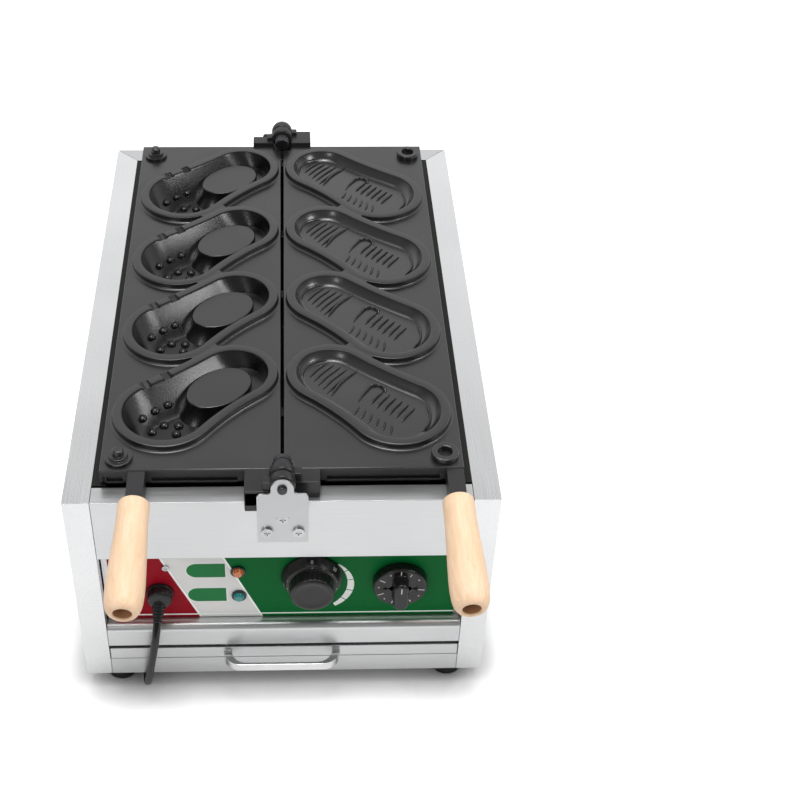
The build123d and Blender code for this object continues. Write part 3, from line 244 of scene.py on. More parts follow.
# Brush marks, drawn a little wider than real ones so that they show
brush = 0.4 * MM
long_brush = 60 * MM
brush_along_depth = (1 / brush, 1 / long_brush, 1 / brush)
brush_along_width = (1 / long_brush, 1 / brush, 1 / brush)
# Brushed stainless side sheets: pale and bright, streaked along the depth, a blurred mirror
steel_sides = brushed_stainless("stainless_sides", brush_along_depth, "#EEEFF0", "#E5E6E7", 0.26)
# The same sheet brushed along the width, on front and rear: duller, and greyer than the side sheets as
# painted shade on these panels
steel_front_shaded = brushed_stainless("stainless_front_shaded", brush_along_width, "#DCDDDE", "#D4D5D6", 0.33)
# Folded stainless brackets: the greyest of the brushed parts
steel_bracket = brushed_stainless("stainless_bracket", brush_along_width, "#CBCCCD", "#C1C2C3", 0.36)
# Unpolished sheet inside the casing: mid grey and dull
steel_inside = brushed_stainless("mill_steel", brush_along_depth, "#A9ABAC", "#8D8F91", 0.38)
# Sheet steel beside the plates, coloured nearly black as painted shade in the gaps round the plates
steel_gap_shade = grained("gap_shade_steel", "#232220", "#171615", 0.5, 1.3, metallic=0.6)
# Polished stainless bar: mirrors the floor and the drawer
steel_polished = grained(
    "polished_stainless", "#EFEFEF", "#E4E5E6", 0.12, 6.0, metallic=1.0, relief_mm=0.01
)
# Zinc-plated steel screws, nuts and shafts: pale grey, slightly cloudy
steel_screw = grained("zinc_plate", "#D2D3D4", "#B4B6B8", 0.24, 1.2, metallic=1.0)
# Ground steel pins, darkened by heat
steel_pin = grained("darkened_steel", "#5C5C60", "#3E3E42", 0.38, 0.9, metallic=1.0)
# Cast aluminium under a sprayed non-stick coating: an even dark grey with a soft sheen
coating = grained("nonstick_coating", "#19191A", "#131314", 0.32, 1.0, specular=1.0)
# The same coating where oil and batter have polished it glossy; its near-black colour is painted shade in the
# shoe moulds' hollows
oiled_and_shaded = grained("oiled_coating_shaded", "#0B0B0C", "#060607", 0.27, 1.6, relief_mm=0.5, coat=0.3, coat_rough=0.2)
# The same coating in the sole moulds: greyer, with a satin gloss
satin = grained("satin_coating", "#222223", "#1A1A1B", 0.3, 1.2, relief_mm=0.06, specular=0.8, coat=0.3)
# Blackened cast iron hinge arms: dark and slightly rough
iron = grained("blackened_iron", "#242425", "#19191A", 0.36, 1.1, relief_mm=0.08)
# Square steel bars in dark stove paint: an even charcoal
paint = grained("stove_paint", "#2A2A2C", "#212123", 0.36, 0.8, relief_mm=0.03)
# Turned beech grips: pale and warm, with fine darker flecks
beech = turned_beech()
# End grain inside the grips' counterbores: darker than the sanded outside
beech_bore = grained("beech_bore", "#B98A62", "#A07350", 0.62, 0.7)
# Moulded phenolic knobs: charcoal with a fine grain
phenolic = grained("phenolic", "#161516", "#0F0E0F", 0.3, 0.5, relief_mm=0.03)
# Screen-printed polyester label: flat red, off-white and green bands
label_print = printed_label()
# White screen-printing ink on the label: a clean, matt white
white_ink = grained("white_ink", "#F4F6F3", "#E9EDE8", 0.42, 0.8, relief_mm=0.01, specular=0.25)
# Pale ink on the knobs: a little greyer than the label's white
dial_ink = grained("dial_ink", "#D8D8D6", "#C4C4C2", 0.45, 0.8, relief_mm=0.01)
# Green screen-printing ink of the tabs: fresher than the green band
green_ink = grained("green_ink", "#0C7A3D", "#097036", 0.42, 0.9, relief_mm=0.01, specular=0.25)
# Ribbed acrylic lenses of the unlit lamps: one a warm orange, one a blue-green
amber = tinted_lens("amber_acrylic", "#F39A55", "#D9641C")
teal = tinted_lens("teal_acrylic", "#3FB5B0", "#0B7F80")
# Glossy ABS bezels round the lamps: nearly black, with a green tinge
bezel = grained("abs_bezel", "#14282A", "#0E1C1E", 0.2, 0.8)
# Nylon bodies behind the panel: matt ivory
housing = grained("nylon_housing", "#D5D2C8", "#C4C1B6", 0.5, 0.8)
# Alloy sheath of the heating elements: brown-grey from heat
sheath = grained("element_sheath", "#5A5550", "#474340", 0.45, 0.9, metallic=1.0)
# Glazed porcelain beads and block: white and glossy
porcelain = grained("glazed_porcelain", "#EFEDE6", "#E3E0D8", 0.18, 2.0, relief_mm=0.01)
# Drawn copper bulb: a warm, dull shine
copper = grained("drawn_copper", "#C98A5E", "#A96B43", 0.3, 1.0, metallic=1.0)
# Moulded rubber feet: matt charcoal
rubber = grained("foot_rubber", "#222223", "#1A1A1B", 0.62, 0.6, relief_mm=0.08)
# Extruded PVC of the cord: smooth black with a soft shine
pvc = grained("cord_pvc", "#131314", "#0D0D0E", 0.26, 1.0, relief_mm=0.01)
# Moulded PVC of the gland, the tie and the plug: black, duller than the cord
plug_pvc = grained("plug_pvc", "#151516", "#0F0F10", 0.38, 0.5, relief_mm=0.02)

# The camera stands where the photograph was taken from, with the lens axis left of the middle
elevation = math.radians(41.2517)
heading = math.radians(2.6092)
roll = math.radians(-1.2539)
forward = Vector(
    (
        math.sin(heading) * math.cos(elevation),
        math.cos(heading) * math.cos(elevation),
        -math.sin(elevation),
    )
)
level = Vector((math.cos(heading), -math.sin(heading), 0.0))
down = forward.cross(level)
camera_x = level * math.cos(roll) + down * math.sin(roll)
camera_y = level * math.sin(roll) - down * math.cos(roll)
camera = bpy.data.objects.new("camera", bpy.data.cameras.new("camera"))
scene.collection.objects.link(camera)
turn = Matrix((camera_x, camera_y, -forward)).transposed()
camera.matrix_world = Matrix.Translation(mm(7.9, -1038.9, 1067.4)) @ turn.to_4x4()
camera.data.lens = 63.89
camera.data.sensor_width = 36.0
camera.data.shift_x = 0.075
camera.data.clip_end = 20.0
scene.camera = camera


def finish_piece(name, bm, body, finishes, replaced=(), smooth=32.0):
    """Turn a bmesh into a piece that rides on a body; edges below an angle in degrees are smooth."""
    mesh = bpy.data.meshes.new(name)
    bm.to_mesh(mesh)
    bm.free()
    for finish in finishes:
        mesh.materials.append(finish)
    mesh.shade_smooth()
    mesh.set_sharp_from_angle(angle=math.radians(smooth))
    piece = bpy.data.objects.new(name, mesh)
    scene.collection.objects.link(piece)
    flat_shading = piece.modifiers.new("flat_shading", "WEIGHTED_NORMAL")
    flat_shading.keep_sharp = True
    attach(piece, body)
    if replaced:
        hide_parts(*replaced)
    return piece


def break_edges(bm, edges, width, segments=2, clamped=False):
    """Round edges off over a width."""
    bmesh.ops.bevel(
        bm,
        geom=edges,
        offset=width,
        segments=segments,
        profile=0.5,
        material=-1,
        affect="EDGES",
        clamp_overlap=clamped,
    )


def dress(node, finish, edge_mm):
    """Refined copy of a CAD node: its doubles merged, flat faces whole and edges broken."""
    welded = 2e-6
    flat = math.radians(0.5)
    sharp = math.radians(30)
    bm = bmesh.new()
    bm.from_mesh(nodes[node].data)
    bmesh.ops.remove_doubles(bm, verts=bm.verts, dist=welded)
    bmesh.ops.dissolve_limit(bm, angle_limit=flat, verts=bm.verts, edges=bm.edges)
    if edge_mm:
        edges = [edge for edge in bm.edges if len(edge.link_faces) == 2 and edge.calc_face_angle() > sharp]
        break_edges(bm, edges, edge_mm * MM, clamped=True)
    for face in bm.faces:
        face.material_index = 0
    body = nodes[node]["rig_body"]
    finish_piece(f"{node}_dressed", bm, body, [finish], [node])


# Pieces whose CAD shape is refined: the finish, the record's slot and the broken edge in millimetres
dressed_nodes = {
    "side_panel_left": (steel_sides, "casing_steel", 0.5),
    "side_panel_right": (steel_sides, "casing_steel", 0.5),
    "rear_panel": (steel_front_shaded, "casing_steel", 0.5),
    "front_upper_panel": (steel_front_shaded, "casing_steel", 0.5),
    "shelf_rail": (steel_front_shaded, "casing_steel", 0.4),
    "base_pan": (steel_front_shaded, "casing_steel", 0.4),
    "drawer_front": (steel_front_shaded, "casing_steel", 0.4),
    "drawer_handle": (steel_polished, "polished_steel", 0.8),
    "front_hinge_bracket": (steel_bracket, "bracket_steel", 0.5),
    "rear_hinge_bracket": (steel_bracket, "bracket_steel", 0.5),
    "hinge_bracket_screws": (steel_screw, "screw_steel", 0.5),
    "panel_screws": (steel_screw, "screw_steel", 0.4),
    "left_locating_studs": (coating, "plate_coating", 0.6),
    "right_locating_sockets": (coating, "plate_coating", 0.6),
    "left_handle_bar": (paint, "bar_paint", 0.8),
    "right_handle_bar": (paint, "bar_paint", 0.8),
    "left_grip_nut": (steel_screw, "screw_steel", 0.4),
    "right_grip_nut": (steel_screw, "screw_steel", 0.4),
    "lamp_bezels": (bezel, "bezel_plastic", 0.4),
    "feet": (rubber, "foot_rubber", 0.8),
    "panel_label": (label_print, "label_print", 0.0),
}
for node, (finish, slot, edge_mm) in dressed_nodes.items():
    dress(node, finish, edge_mm)

# Pieces that keep their CAD mesh
plain_nodes = {
    "foot_screws": steel_screw,
    "control_panel": steel_front_shaded,
    "control_bay": steel_inside,
    "plate_rest_rails": steel_gap_shade,
    "side_liners": steel_gap_shade,
    "rear_liner": steel_inside,
    "left_heating_element": sheath,
    "right_heating_element": sheath,
    "element_supports": steel_inside,
    "element_beads": porcelain,
    "terminal_block": porcelain,
    "thermostat_body": housing,
    "thermostat_bulb": copper,
    "timer_body": housing,
    "thermostat_shaft": steel_screw,
    "timer_shaft": steel_screw,
    "amber_lens": amber,
    "teal_lens": teal,
    "lamp_bodies": housing,
    "drawer_runners": steel_inside,
    "drawer_tray": steel_inside,
    "cord_tie": plug_pvc,
}
for node, finish in plain_nodes.items():
    for place in nodes[node].material_slots:
        place.material = finish

# Plate and mould sizes in millimetres; in a mould's own frame A runs from heel to toe, B towards the
# front and H up from the rim
plate_low, plate_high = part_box("left_mould_plate")
right_low, right_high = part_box("right_mould_plate")
rim_top = plate_high.z / MM
rim_height = 5.75
plate_top = rim_top - rim_height
slab_thickness = 7.0
slab_bottom = plate_top - slab_thickness
plate_near = 1.2
plate_far = 150.0
plate_edge = 1.3
cast_edge = 0.9
thin_edge = 0.8
knuckle_notch = (8.4, 7.0)
handle_reach = {-1: 119.3, 1: 142.3}
handle_drop = 7.0
skirt_bottom = plate_top - 15.7
skirt_wall = 5.0
window_sill = 3.0
window_depth = 2.5
post_width = 24.0
first_post_end = 37.0
web_half_length = 14.5
web_half_width = 8.0
heel_radius = 30.5
toe_radius = 36.5
rim_width = 8.5
rim_fillet = 2.3
rim_round = 1.5
lip_depth = 1.1
front_waist = 240.0
rear_waist = 450.0
heel_place = Vector((43.0, 139.0))
toe_place = Vector((99.5, 89.0))
mould_count = 4
mould_pitch = 112.0
cup_wall = 4.0
shoe_depth = 25.0
sole_depth = 9.0
sole_slope = 8.5
groove_depth = 14.0
groove_end = 34.0
plateau_depth = 8.0
plateau_middle = 16.5
plateau_radii = Vector((30.4, 21.2))
mould_span = (toe_place - heel_place).length

# Two notches in the rear edge of a shoe mould's mouth: distance past the toe centre, half width, depth
notch_places = (-9.0, -29.0)
notch_half = 3.6
notch_depth = 3.0

# Pegs of the shoe moulds: distance past the toe centre, and offset to the front
peg_places = ((10, -20.5), (-4, -21), (-17, -20), (10, -8), (-3, -8), (-12, 1), (-4, 8))
peg_radius = 4.2
peg_flatness = 0.75
peg_lift = 0.2


def around(count, offset=0.0):
    """Angles evenly spaced round a full turn."""
    return [2 * math.pi * (index + offset) / count for index in range(count)]


def grooved(radius, angle, grooves, depth, sharpness):
    """Radius at an angle of a round that has evenly spaced grooves."""
    return radius - depth * max(0.0, math.cos(grooves * angle)) ** sharpness


def angle_of(direction):
    """Angle of a direction in a mould's own frame."""
    return math.atan2(direction.y, direction.x)


def mould_stations():
    """Stations round a mould's outline: the arc's centre, the angle, its radius and which way it grows."""
    heel = Vector((0.0, 0.0))
    toe = Vector((mould_span, 0.0))
    centres = []
    for waist, hand in ((front_waist, 1), (rear_waist, -1)):
        from_heel = heel_radius + waist
        from_toe = toe_radius + waist
        reach = (from_heel**2 - from_toe**2 + mould_span**2) / (2 * mould_span)
        centres.append(Vector((reach, hand * math.sqrt(from_heel**2 - reach**2))))
    at_front, at_rear = centres
    arcs = (
        (heel, heel_radius, 1, angle_of(at_front), angle_of(at_rear) + 2 * math.pi, 44),
        (at_rear, rear_waist, -1, angle_of(heel - at_rear), angle_of(toe - at_rear), 40),
        (toe, toe_radius, 1, angle_of(at_rear - toe), angle_of(at_front - toe), 52),
        (at_front, front_waist, -1, angle_of(toe - at_front), angle_of(heel - at_front), 40),
    )
    return [
        (centre, begin + (end - begin) * index / count, radius, sign)
        for centre, radius, sign, begin, end, count in arcs
        for index in range(count)
    ]


stations = mould_stations()


def outline_point(station, grow, height):
    """Point of a mould's outline, grown outwards, at a height."""
    centre, angle, radius, sign = station
    reach = radius + sign * grow
    return Vector((centre.x + reach * math.cos(angle), centre.y + reach * math.sin(angle), height))


def mould_loop(grow, height):
    """Points of a mould's outline, grown outwards, at a height."""
    return [outline_point(station, grow, height) for station in stations]


def oval_loop(middle, radii, height):
    """Points of an ellipse on a mould's own line, at a height."""
    return [
        Vector((middle + radii[0] * math.cos(angle), radii[1] * math.sin(angle), height))
        for angle in around(72)
    ]


def add_loop(bm, points, capped):
    """Closed loop of edges through the points, with or without a face."""
    ring = bmesh.ops.create_circle(bm, cap_ends=capped, segments=len(points), radius=1.0)["verts"]
    for vert, point in zip(ring, points):
        vert.co = point
    edges = list(dict.fromkeys(edge for vert in ring for edge in vert.link_edges))
    return ring, edges


def tint_faces(verts, finish_index):
    """Give the faces that meet at these vertices one of the piece's finishes."""
    for face in {face for vert in verts for face in vert.link_faces}:
        face.material_index = finish_index


def skin(bm, loops, band_finish=None):
    """Closed shell through a row of loops of equal length; band_finish gives a band's material."""
    verts = []
    before = None
    last = len(loops) - 1
    for index, points in enumerate(loops):
        ring, edges = add_loop(bm, points, index in (0, last))
        if band_finish:
            for face in {face for edge in edges for face in edge.link_faces}:
                face.material_index = band_finish(index)
        if before:
            made = bmesh.ops.bridge_loops(bm, edges=before + edges)
            for face in made["faces"]:
                face.material_index = band_finish(index) if band_finish else 0
        verts.extend(ring)
        before = edges
    return verts


def rounded_rim(depth):
    """Steps of a mould's wall from under its cup, up its outside and over its rim: growth and height."""
    underside = -(depth + cup_wall)
    slab_underside = -rim_height - slab_thickness
    foot = -rim_height
    return [
        (cup_wall - 2.2, underside),
        (cup_wall - 0.6, underside + 0.6),
        (cup_wall, underside + 2.2),
        (cup_wall, slab_underside + 2),
        (rim_width, slab_underside + 3),
        (rim_width + rim_fillet, foot - 0.6),
        (rim_width + rim_fillet, foot + 0.06),
        (rim_width + 1.15, foot + 0.34),
        (rim_width + 0.34, foot + 1.15),
        (rim_width, foot + rim_fillet),
        (rim_width, -rim_round),
        (rim_width - 0.42, -0.46),
        (rim_width - rim_round, 0.0),
        (lip_depth, 0.0),
        (0.3, -0.3),
        (0.0, -lip_depth),
    ]


def drop(share, depth, power):
    """Height in a bowl at a share of the way from its mouth to its floor."""
    return -lip_depth - (depth - lip_depth) * (1 - (1 - share) ** power)


def mould_frame(side, index):
    """Matrix from a mould's own frame, in millimetres, to its place in the object, in metres."""
    heel = Vector((side * heel_place.x, heel_place.y))
    toe = Vector((side * toe_place.x, toe_place.y))
    along = (toe - heel).normalized()
    across = Vector((-along.y, along.x)) * -side
    turn = Matrix(((along.x, across.x, 0, 0), (along.y, across.y, 0, 0), (0, 0, 1, 0), (0, 0, 0, 1)))
    start = Vector((heel.x, front / MM + heel.y + mould_pitch * index, rim_top))
    return Matrix.Scale(MM, 4) @ Matrix.Translation(start) @ turn


def ridge(bm, points, width, height, floor):
    """Rounded ridge along a row of points on a floor, tapered at both ends."""
    loops = []
    last = len(points) - 1
    for index, point in enumerate(points):
        ahead = points[min(index + 1, last)]
        behind = points[max(index - 1, 0)]
        way = (ahead - behind).normalized()
        beside = Vector((-way.y, way.x))
        end_gap = min(index, last - index)
        swell = (0.25, 0.72, 1.0)[min(end_gap, 2)]
        loop = []
        for angle in around(10):
            off = beside * (0.5 * width * swell * math.cos(angle))
            loop.append(Vector((point.x + off.x, point.y + off.y, floor + height * swell * math.sin(angle))))
        loops.append(loop)
    skin(bm, loops)


def arc_points(centre, radius, begin, end, count=10):
    """Points along an arc, angles in degrees."""
    points = []
    for index in range(count + 1):
        angle = math.radians(begin + (end - begin) * index / count)
        points.append(centre + radius * Vector((math.cos(angle), math.sin(angle))))
    return points


def line_points(start, end, bow, count=8):
    """Points along a slightly bowed line in a mould's own frame."""
    start = Vector(start)
    end = Vector(end)
    way = (end - start).normalized()
    beside = Vector((-way.y, way.x))
    return [
        start + (end - start) * (index / count) + beside * (bow * math.sin(math.pi * index / count))
        for index in range(count + 1)
    ]


def slope_at(rearness):
    """Width in millimetres and steepness of a shoe mould's slope: gentle at the rear, steep at the front."""
    return 15.0 + 12.0 * rearness, 2.7 - 1.35 * rearness


def shoe_height(inset, rearness):
    """Height of a shoe mould's bowl at an inset from its mouth."""
    width, power = slope_at(rearness)
    return drop(min(max(inset / width, 0.0), 1.0), shoe_depth, power)


def shoe_loop(share):
    """Loop round a shoe mould's bowl at a share of the way in from its mouth."""
    points = []
    for station in stations:
        angle, sign = station[1], station[3]
        rearness = max(0.0, -sign * math.sin(angle))
        inset = share * slope_at(rearness)[0]
        points.append(outline_point(station, -inset, shoe_height(inset, rearness)))
    return points


def waist_half(reach):
    """Half the width of a mould's mouth at a distance from the heel centre."""
    return heel_radius + (toe_radius - heel_radius) * reach / mould_span


def in_notch(point):
    """Whether a point of the bowl's wall lies in a notch of the mouth's rear edge."""
    near = any(abs(point.x - mould_span - distance) < notch_half for distance in notch_places)
    return near and point.y < 0 and point.z > -lip_depth - 0.1 and -point.y < waist_half(point.x) + 3.2


def shoe_mould(bm):
    """Hollow for one shoe: a cup, a raised heel floor, a flat plateau, pegs and mouth notches."""
    steps = rounded_rim(shoe_depth)
    mouth = len(steps) - 2
    loops = [mould_loop(grow, height) for grow, height in steps]
    loops += [shoe_loop((index / 16) ** 1.3) for index in range(1, 17)]
    notched = [vert for vert in skin(bm, loops, lambda index: int(index >= mouth)) if in_notch(vert.co)]
    for vert in notched:
        vert.co.z -= notch_depth
    tint_faces(notched, 1)
    floor_loops = []
    for grow, height in ((0.6, -shoe_depth - 1), (0.6, -groove_depth - 1.2), (0.0, -groove_depth)):
        reach = groove_end - (0.6 - grow)
        floor_loops.append([Vector((min(point.x, reach), *point.yz)) for point in mould_loop(grow, height)])
    skin(bm, floor_loops, lambda index: 1)
    plateau_loops = []
    for share in (0.0, 0.15, 0.35, 0.6, 0.85, 1.0):
        swell = (1 - share) ** 1.6
        radii = plateau_radii + Vector((1.5 + 6.1 * swell, 1.5 + 2.0 * swell))
        height = -shoe_depth - 0.5 + (shoe_depth - plateau_depth - 0.6) * share
        plateau_loops.append(oval_loop(plateau_middle + 3.5 * swell, radii, height))
    for grow, fall in ((1.0, 0.35), (0.0, 0.0)):
        radii = plateau_radii + Vector((grow, grow))
        plateau_loops.append(oval_loop(plateau_middle, radii, -plateau_depth - fall))
    plateau_top = len(plateau_loops) - 1
    skin(bm, plateau_loops, lambda index: int(index < plateau_top))
    for distance, offset in peg_places:
        reach = math.hypot(distance, offset)
        inset = toe_radius - reach if distance > 0 else waist_half(mould_span + distance) - abs(offset)
        rearness = max(0.0, -offset / reach) if distance > 0 else float(offset < 0)
        base = shoe_height(inset, rearness) + peg_lift
        peg = bmesh.ops.create_uvsphere(bm, u_segments=20, v_segments=12, radius=peg_radius)["verts"]
        bmesh.ops.scale(bm, vec=(1.0, 1.0, peg_flatness), verts=peg)
        bmesh.ops.translate(bm, vec=(mould_span + distance, offset, base), verts=peg)
        tint_faces(peg, 1)


def sole_mould(bm):
    """Hollow for one sole: a shallow dish with ridges under the heel and the ball of the foot."""
    steps = rounded_rim(sole_depth)
    mouth = len(steps) - 2
    for index in range(1, 13):
        share = (index / 12) ** 1.4
        steps.append((-sole_slope * share, drop(share, sole_depth, 2.1)))
    skin(bm, [mould_loop(grow, height) for grow, height in steps], lambda index: int(index >= mouth))
    heel_arch = arc_points(Vector((-4.5, 0.0)), 22.0, 128, 232, 14)
    ball_arch = arc_points(Vector((41.0, -13.0)), 8.0, 190, 330)
    toe_arch = arc_points(Vector((mould_span, 0.0)), 27.6, -66, 4, 14)
    ridges = [(heel_arch, 3.6, 2.6)]
    for index in range(5):
        reach = -16.5 + 6.4 * index
        half = 15.0 + 1.6 * index
        ridges.append((line_points((reach, -half), (reach + 1, half - 4), 1.5), 2.6, 1.8))
    ridges.append((line_points((11.0, -26.0), (15.0, 17.0), 3.0, 10), 3.0, 2.3))
    ridges.append(([Vector((38.0, 8.0)), Vector((35.2, -1.0)), *ball_arch], 3.4, 2.6))
    for index in range(6):
        reach = 46.0 + 6.9 * index
        ridges.append((line_points((reach, -17.5), (reach + 2, 3.0 + index % 2), 0.8), 2.6, 2.0))
    for index in range(6):
        reach = 41.0 + 7.2 * index
        spread = 4.0 + 0.8 * index
        ridges.append((line_points((reach, 11.0), (reach + spread, 24.0), -1.0), 2.2, 1.4))
    ridges.append((toe_arch, 2.4, 1.6))
    for points, width, height in ridges:
        ridge(bm, points, width, height, -sole_depth)


def holed_sheet(bm, outer, holes, high, low):
    """Flat sheet with holes, from one height down to another; gives the edges of its outer top rim."""
    rims = []
    for outline in (outer, *holes):
        rims.append(add_loop(bm, [Vector((*point.xy, high)) for point in outline], False)[1])
    made = bmesh.ops.triangle_fill(bm, use_beauty=True, edges=[edge for rim in rims for edge in rim])
    faces = [item for item in made["geom"] if isinstance(item, bmesh.types.BMFace)]
    grown = bmesh.ops.extrude_face_region(bm, geom=faces)
    lowered = [item for item in grown["geom"] if isinstance(item, bmesh.types.BMVert)]
    bmesh.ops.translate(bm, vec=(0, 0, low - high), verts=lowered)
    return rims[0]


def bar(bm, x_range, y_range, z_range, edge_mm):
    """Straight bar between limits along each axis, with its edges broken."""
    centre = [(a + b) / 2 for a, b in (x_range, y_range, z_range)]
    size = [abs(b - a) for a, b in (x_range, y_range, z_range)]
    place = Matrix.Translation(centre) @ Matrix.Diagonal((*size, 1.0))
    corners = bmesh.ops.create_cube(bm, size=1.0, matrix=place)["verts"]
    edges = list(dict.fromkeys(edge for vert in corners for edge in vert.link_edges))
    break_edges(bm, edges, edge_mm)


def stamp(bm, shape, places):
    """Add a shape to a bmesh at each place, and free it."""
    mesh = bpy.data.meshes.new("stamp")
    shape.to_mesh(mesh)
    shape.free()
    for place in places:
        copy = mesh.copy()
        copy.transform(place)
        bm.from_mesh(copy)
        bpy.data.meshes.remove(copy)
    bpy.data.meshes.remove(mesh)


def mould_plate(side, low, high, name, node, mould, inner_finish):
    """Cast plate with its slab, skirt, windows, webs and four moulds."""
    y_front = low.y / MM
    y_rear = high.y / MM
    notch_x, notch_y = knuckle_notch
    corners = (
        (notch_x, y_front), (plate_far, y_front), (plate_far, y_rear), (notch_x, y_rear),
        (notch_x, y_rear - notch_y), (plate_near, y_rear - notch_y),
        (plate_near, y_front + notch_y), (notch_x, y_front + notch_y),
    )
    outer = [Vector((side * x, y)) for x, y in corners]
    places = [mould_frame(side, index) for index in range(mould_count)]
    mouth = mould_loop(rim_width / 2, 0.0)[::2]
    holes = [[(place @ point) / MM for point in mouth] for place in places]
    bm = bmesh.new()
    rim = holed_sheet(bm, outer, holes, plate_top, slab_bottom)
    break_edges(bm, rim, plate_edge, 3)

    inner_far = plate_far - skirt_wall
    skirt = (skirt_bottom, slab_bottom + 0.2)
    sill = (skirt_bottom, skirt_bottom + window_sill)
    bars = [
        ((plate_near, plate_near + skirt_wall), (y_front + notch_y, y_rear - notch_y), skirt),
        ((inner_far, plate_far), (y_front, y_rear), skirt),
        ((notch_x, inner_far + 1), (y_front + window_depth, y_front + skirt_wall), skirt),
        ((notch_x, inner_far + 1), (y_rear - skirt_wall, y_rear - window_depth), skirt),
    ]
    post_near = handle_reach[side] - post_width / 2
    posts = (
        (notch_x, first_post_end),
        (post_near, min(post_near + post_width, plate_far - 1)),
        (plate_far - 6, plate_far - 0.5),
    )
    for y_range in ((y_front, y_front + window_depth + 1), (y_rear - window_depth - 1, y_rear)):
        bars.append(((notch_x, plate_far - 0.5), y_range, sill))
        bars += [(post, y_range, skirt) for post in posts]
    for x_range, y_range, z_range in bars:
        bar(bm, [side * x for x in x_range], y_range, z_range, cast_edge)
    bmesh.ops.scale(bm, vec=(MM, MM, MM), verts=bm.verts)

    pattern = bmesh.new()
    mould(pattern)
    bmesh.ops.remove_doubles(pattern, verts=pattern.verts, dist=1e-4)
    stamp(bm, pattern, places)

    to_next_toe = Vector((toe_place.x - heel_place.x, toe_place.y - heel_place.y + mould_pitch))
    touch = (heel_radius + rim_width) / (heel_radius + toe_radius + 2 * rim_width)
    turn = Matrix.Rotation(side * (angle_of(to_next_toe) - math.pi / 2), 4, "Z")
    web_places = []
    for index in range(mould_count - 1):
        heel = Vector((heel_place.x, front / MM + heel_place.y + mould_pitch * index))
        centre = heel + to_next_toe * touch
        web_places.append(Matrix.Scale(MM, 4) @ Matrix.Translation((side * centre.x, centre.y, 0.0)) @ turn)
    web = bmesh.new()
    along = (-web_half_length, web_half_length)
    across = (-web_half_width, web_half_width)
    bar(web, along, across, (plate_top - 1, rim_top - 0.15), thin_edge)
    stamp(bm, web, web_places)
    bmesh.ops.recalc_face_normals(bm, faces=bm.faces)
    body = nodes[node]["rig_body"]
    finish_piece(name, bm, body, [coating, inner_finish], [node], smooth=38.0)


# The shoe moulds' hollows, walls and pegs take the near-black coating as painted shade; the plateau tops keep
# the plain coating
for side, low, high, hand, mould, inner_finish in (
    (-1, plate_low, plate_high, "left", shoe_mould, oiled_and_shaded),
    (1, right_low, right_high, "right", sole_mould, satin),
):
    mould_plate(
        side, low, high, f"{hand}_cast_plate", f"{hand}_mould_plate", mould, inner_finish
    )


def turned(bm, profile, origin, axis, steps=48, finish_index=0):
    """Solid of revolution through pairs of distance along the axis and radius, in millimetres."""
    first = len(bm.faces)
    beside = axis.orthogonal().normalized()
    verts = [bm.verts.new(origin + axis * along + beside * radius) for along, radius in profile]
    edges = [bm.edges.new(pair) for pair in zip(verts, verts[1:])]
    bmesh.ops.spin(
        bm, geom=verts + edges, cent=origin, axis=axis, angle=2 * math.pi, steps=steps, use_merge=True
    )
    bm.faces.ensure_lookup_table()
    for face in bm.faces[first:]:
        face.material_index = finish_index


def to_metres(bm):
    """Merge doubled vertices, turn faces outwards and scale a shape in millimetres to metres."""
    bmesh.ops.remove_doubles(bm, verts=bm.verts, dist=1e-4)
    bmesh.ops.recalc_face_normals(bm, faces=bm.faces)
    bmesh.ops.scale(bm, vec=(MM, MM, MM), verts=bm.verts)


# Hinge arms, in millimetres: a block beside the pin, a round knuckle on it and a stop lug
parting = rim_top + 0.25
arm_inner = 9.5
arm_outer = 31.0
arm_bottom = 240.5
arm_lip = 3.0
arm_gap = 0.3
arm_rise = {1: 1.0, -1: 4.0}
knuckle_radius = 11.0
knuckle_length = 10.0
knuckle_round = 2.6
pin_hole = 4.1
lug_range = (8.0, 16.0)


def hinge_arm(node, side, inward, long_arm):
    """Cast hinge arm of one plate at one end of the casing."""
    low, high = (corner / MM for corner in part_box(node))
    tip, root = (low.y, high.y) if inward > 0 else (high.y, low.y)
    arm_top = plate_top + arm_rise[inward]
    knuckle_end = tip + inward * knuckle_length
    across = (side * arm_inner, side * arm_outer)
    start = tip if long_arm else tip + inward * arm_gap
    bm = bmesh.new()
    bar(bm, across, (start, root), (arm_bottom, arm_top), cast_edge)
    if long_arm:
        bar(bm, across, (tip, tip + inward * arm_lip), (low.z, arm_top - 1), cast_edge)
    lug = [side * reach for reach in lug_range]
    lug_top = min(parting + 4.0, 2 * parting - arm_top - 0.5)
    bar(bm, lug, (tip + inward, knuckle_end - inward), (arm_top - 2, lug_top), thin_edge)
    bend = knuckle_round
    ring = [(0.0, pin_hole), (0.0, knuckle_radius - bend)]
    for index in range(1, 7):
        angle = math.pi / 2 * index / 6
        ring.append((bend * (1 - math.cos(angle)), knuckle_radius - bend + bend * math.sin(angle)))
    ring += [(knuckle_length - along, radius) for along, radius in reversed(ring)]
    ring.append(ring[0])
    turned(bm, ring, Vector((0.0, tip, parting)), Vector((0.0, float(inward), 0.0)))
    to_metres(bm)
    finish_piece(f"{node}_cast", bm, nodes[node]["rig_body"], [iron], [node], smooth=34.0)


for node, side, inward, long_arm in (
    ("left_front_hinge_arm", -1, 1, True),
    ("right_front_hinge_arm", 1, 1, False),
    ("left_rear_hinge_arm", -1, -1, False),
    ("right_rear_hinge_arm", 1, -1, True),
):
    hinge_arm(node, side, inward, long_arm)


# Hinge pins, in millimetres: a ribbed head inside the knuckles, a shank and a peened end; the head's
# steps are pairs of distance along it and how far it is drawn in
pin_radius = 4.0
pin_head_radius = 7.6
pin_head_length = 12.0
pin_ribs = 16
rib_share = 0.045
pin_head_steps = (
    (0.0, 1.4), (0.3, 0.5), (1.0, 0.0), (4.6, 0.0), (5.1, 0.7), (6.2, 0.7), (6.7, 0.0),
    (10.4, 0.0), (11.3, 0.6), (11.8, 1.6), (pin_head_length, 3.0),
)


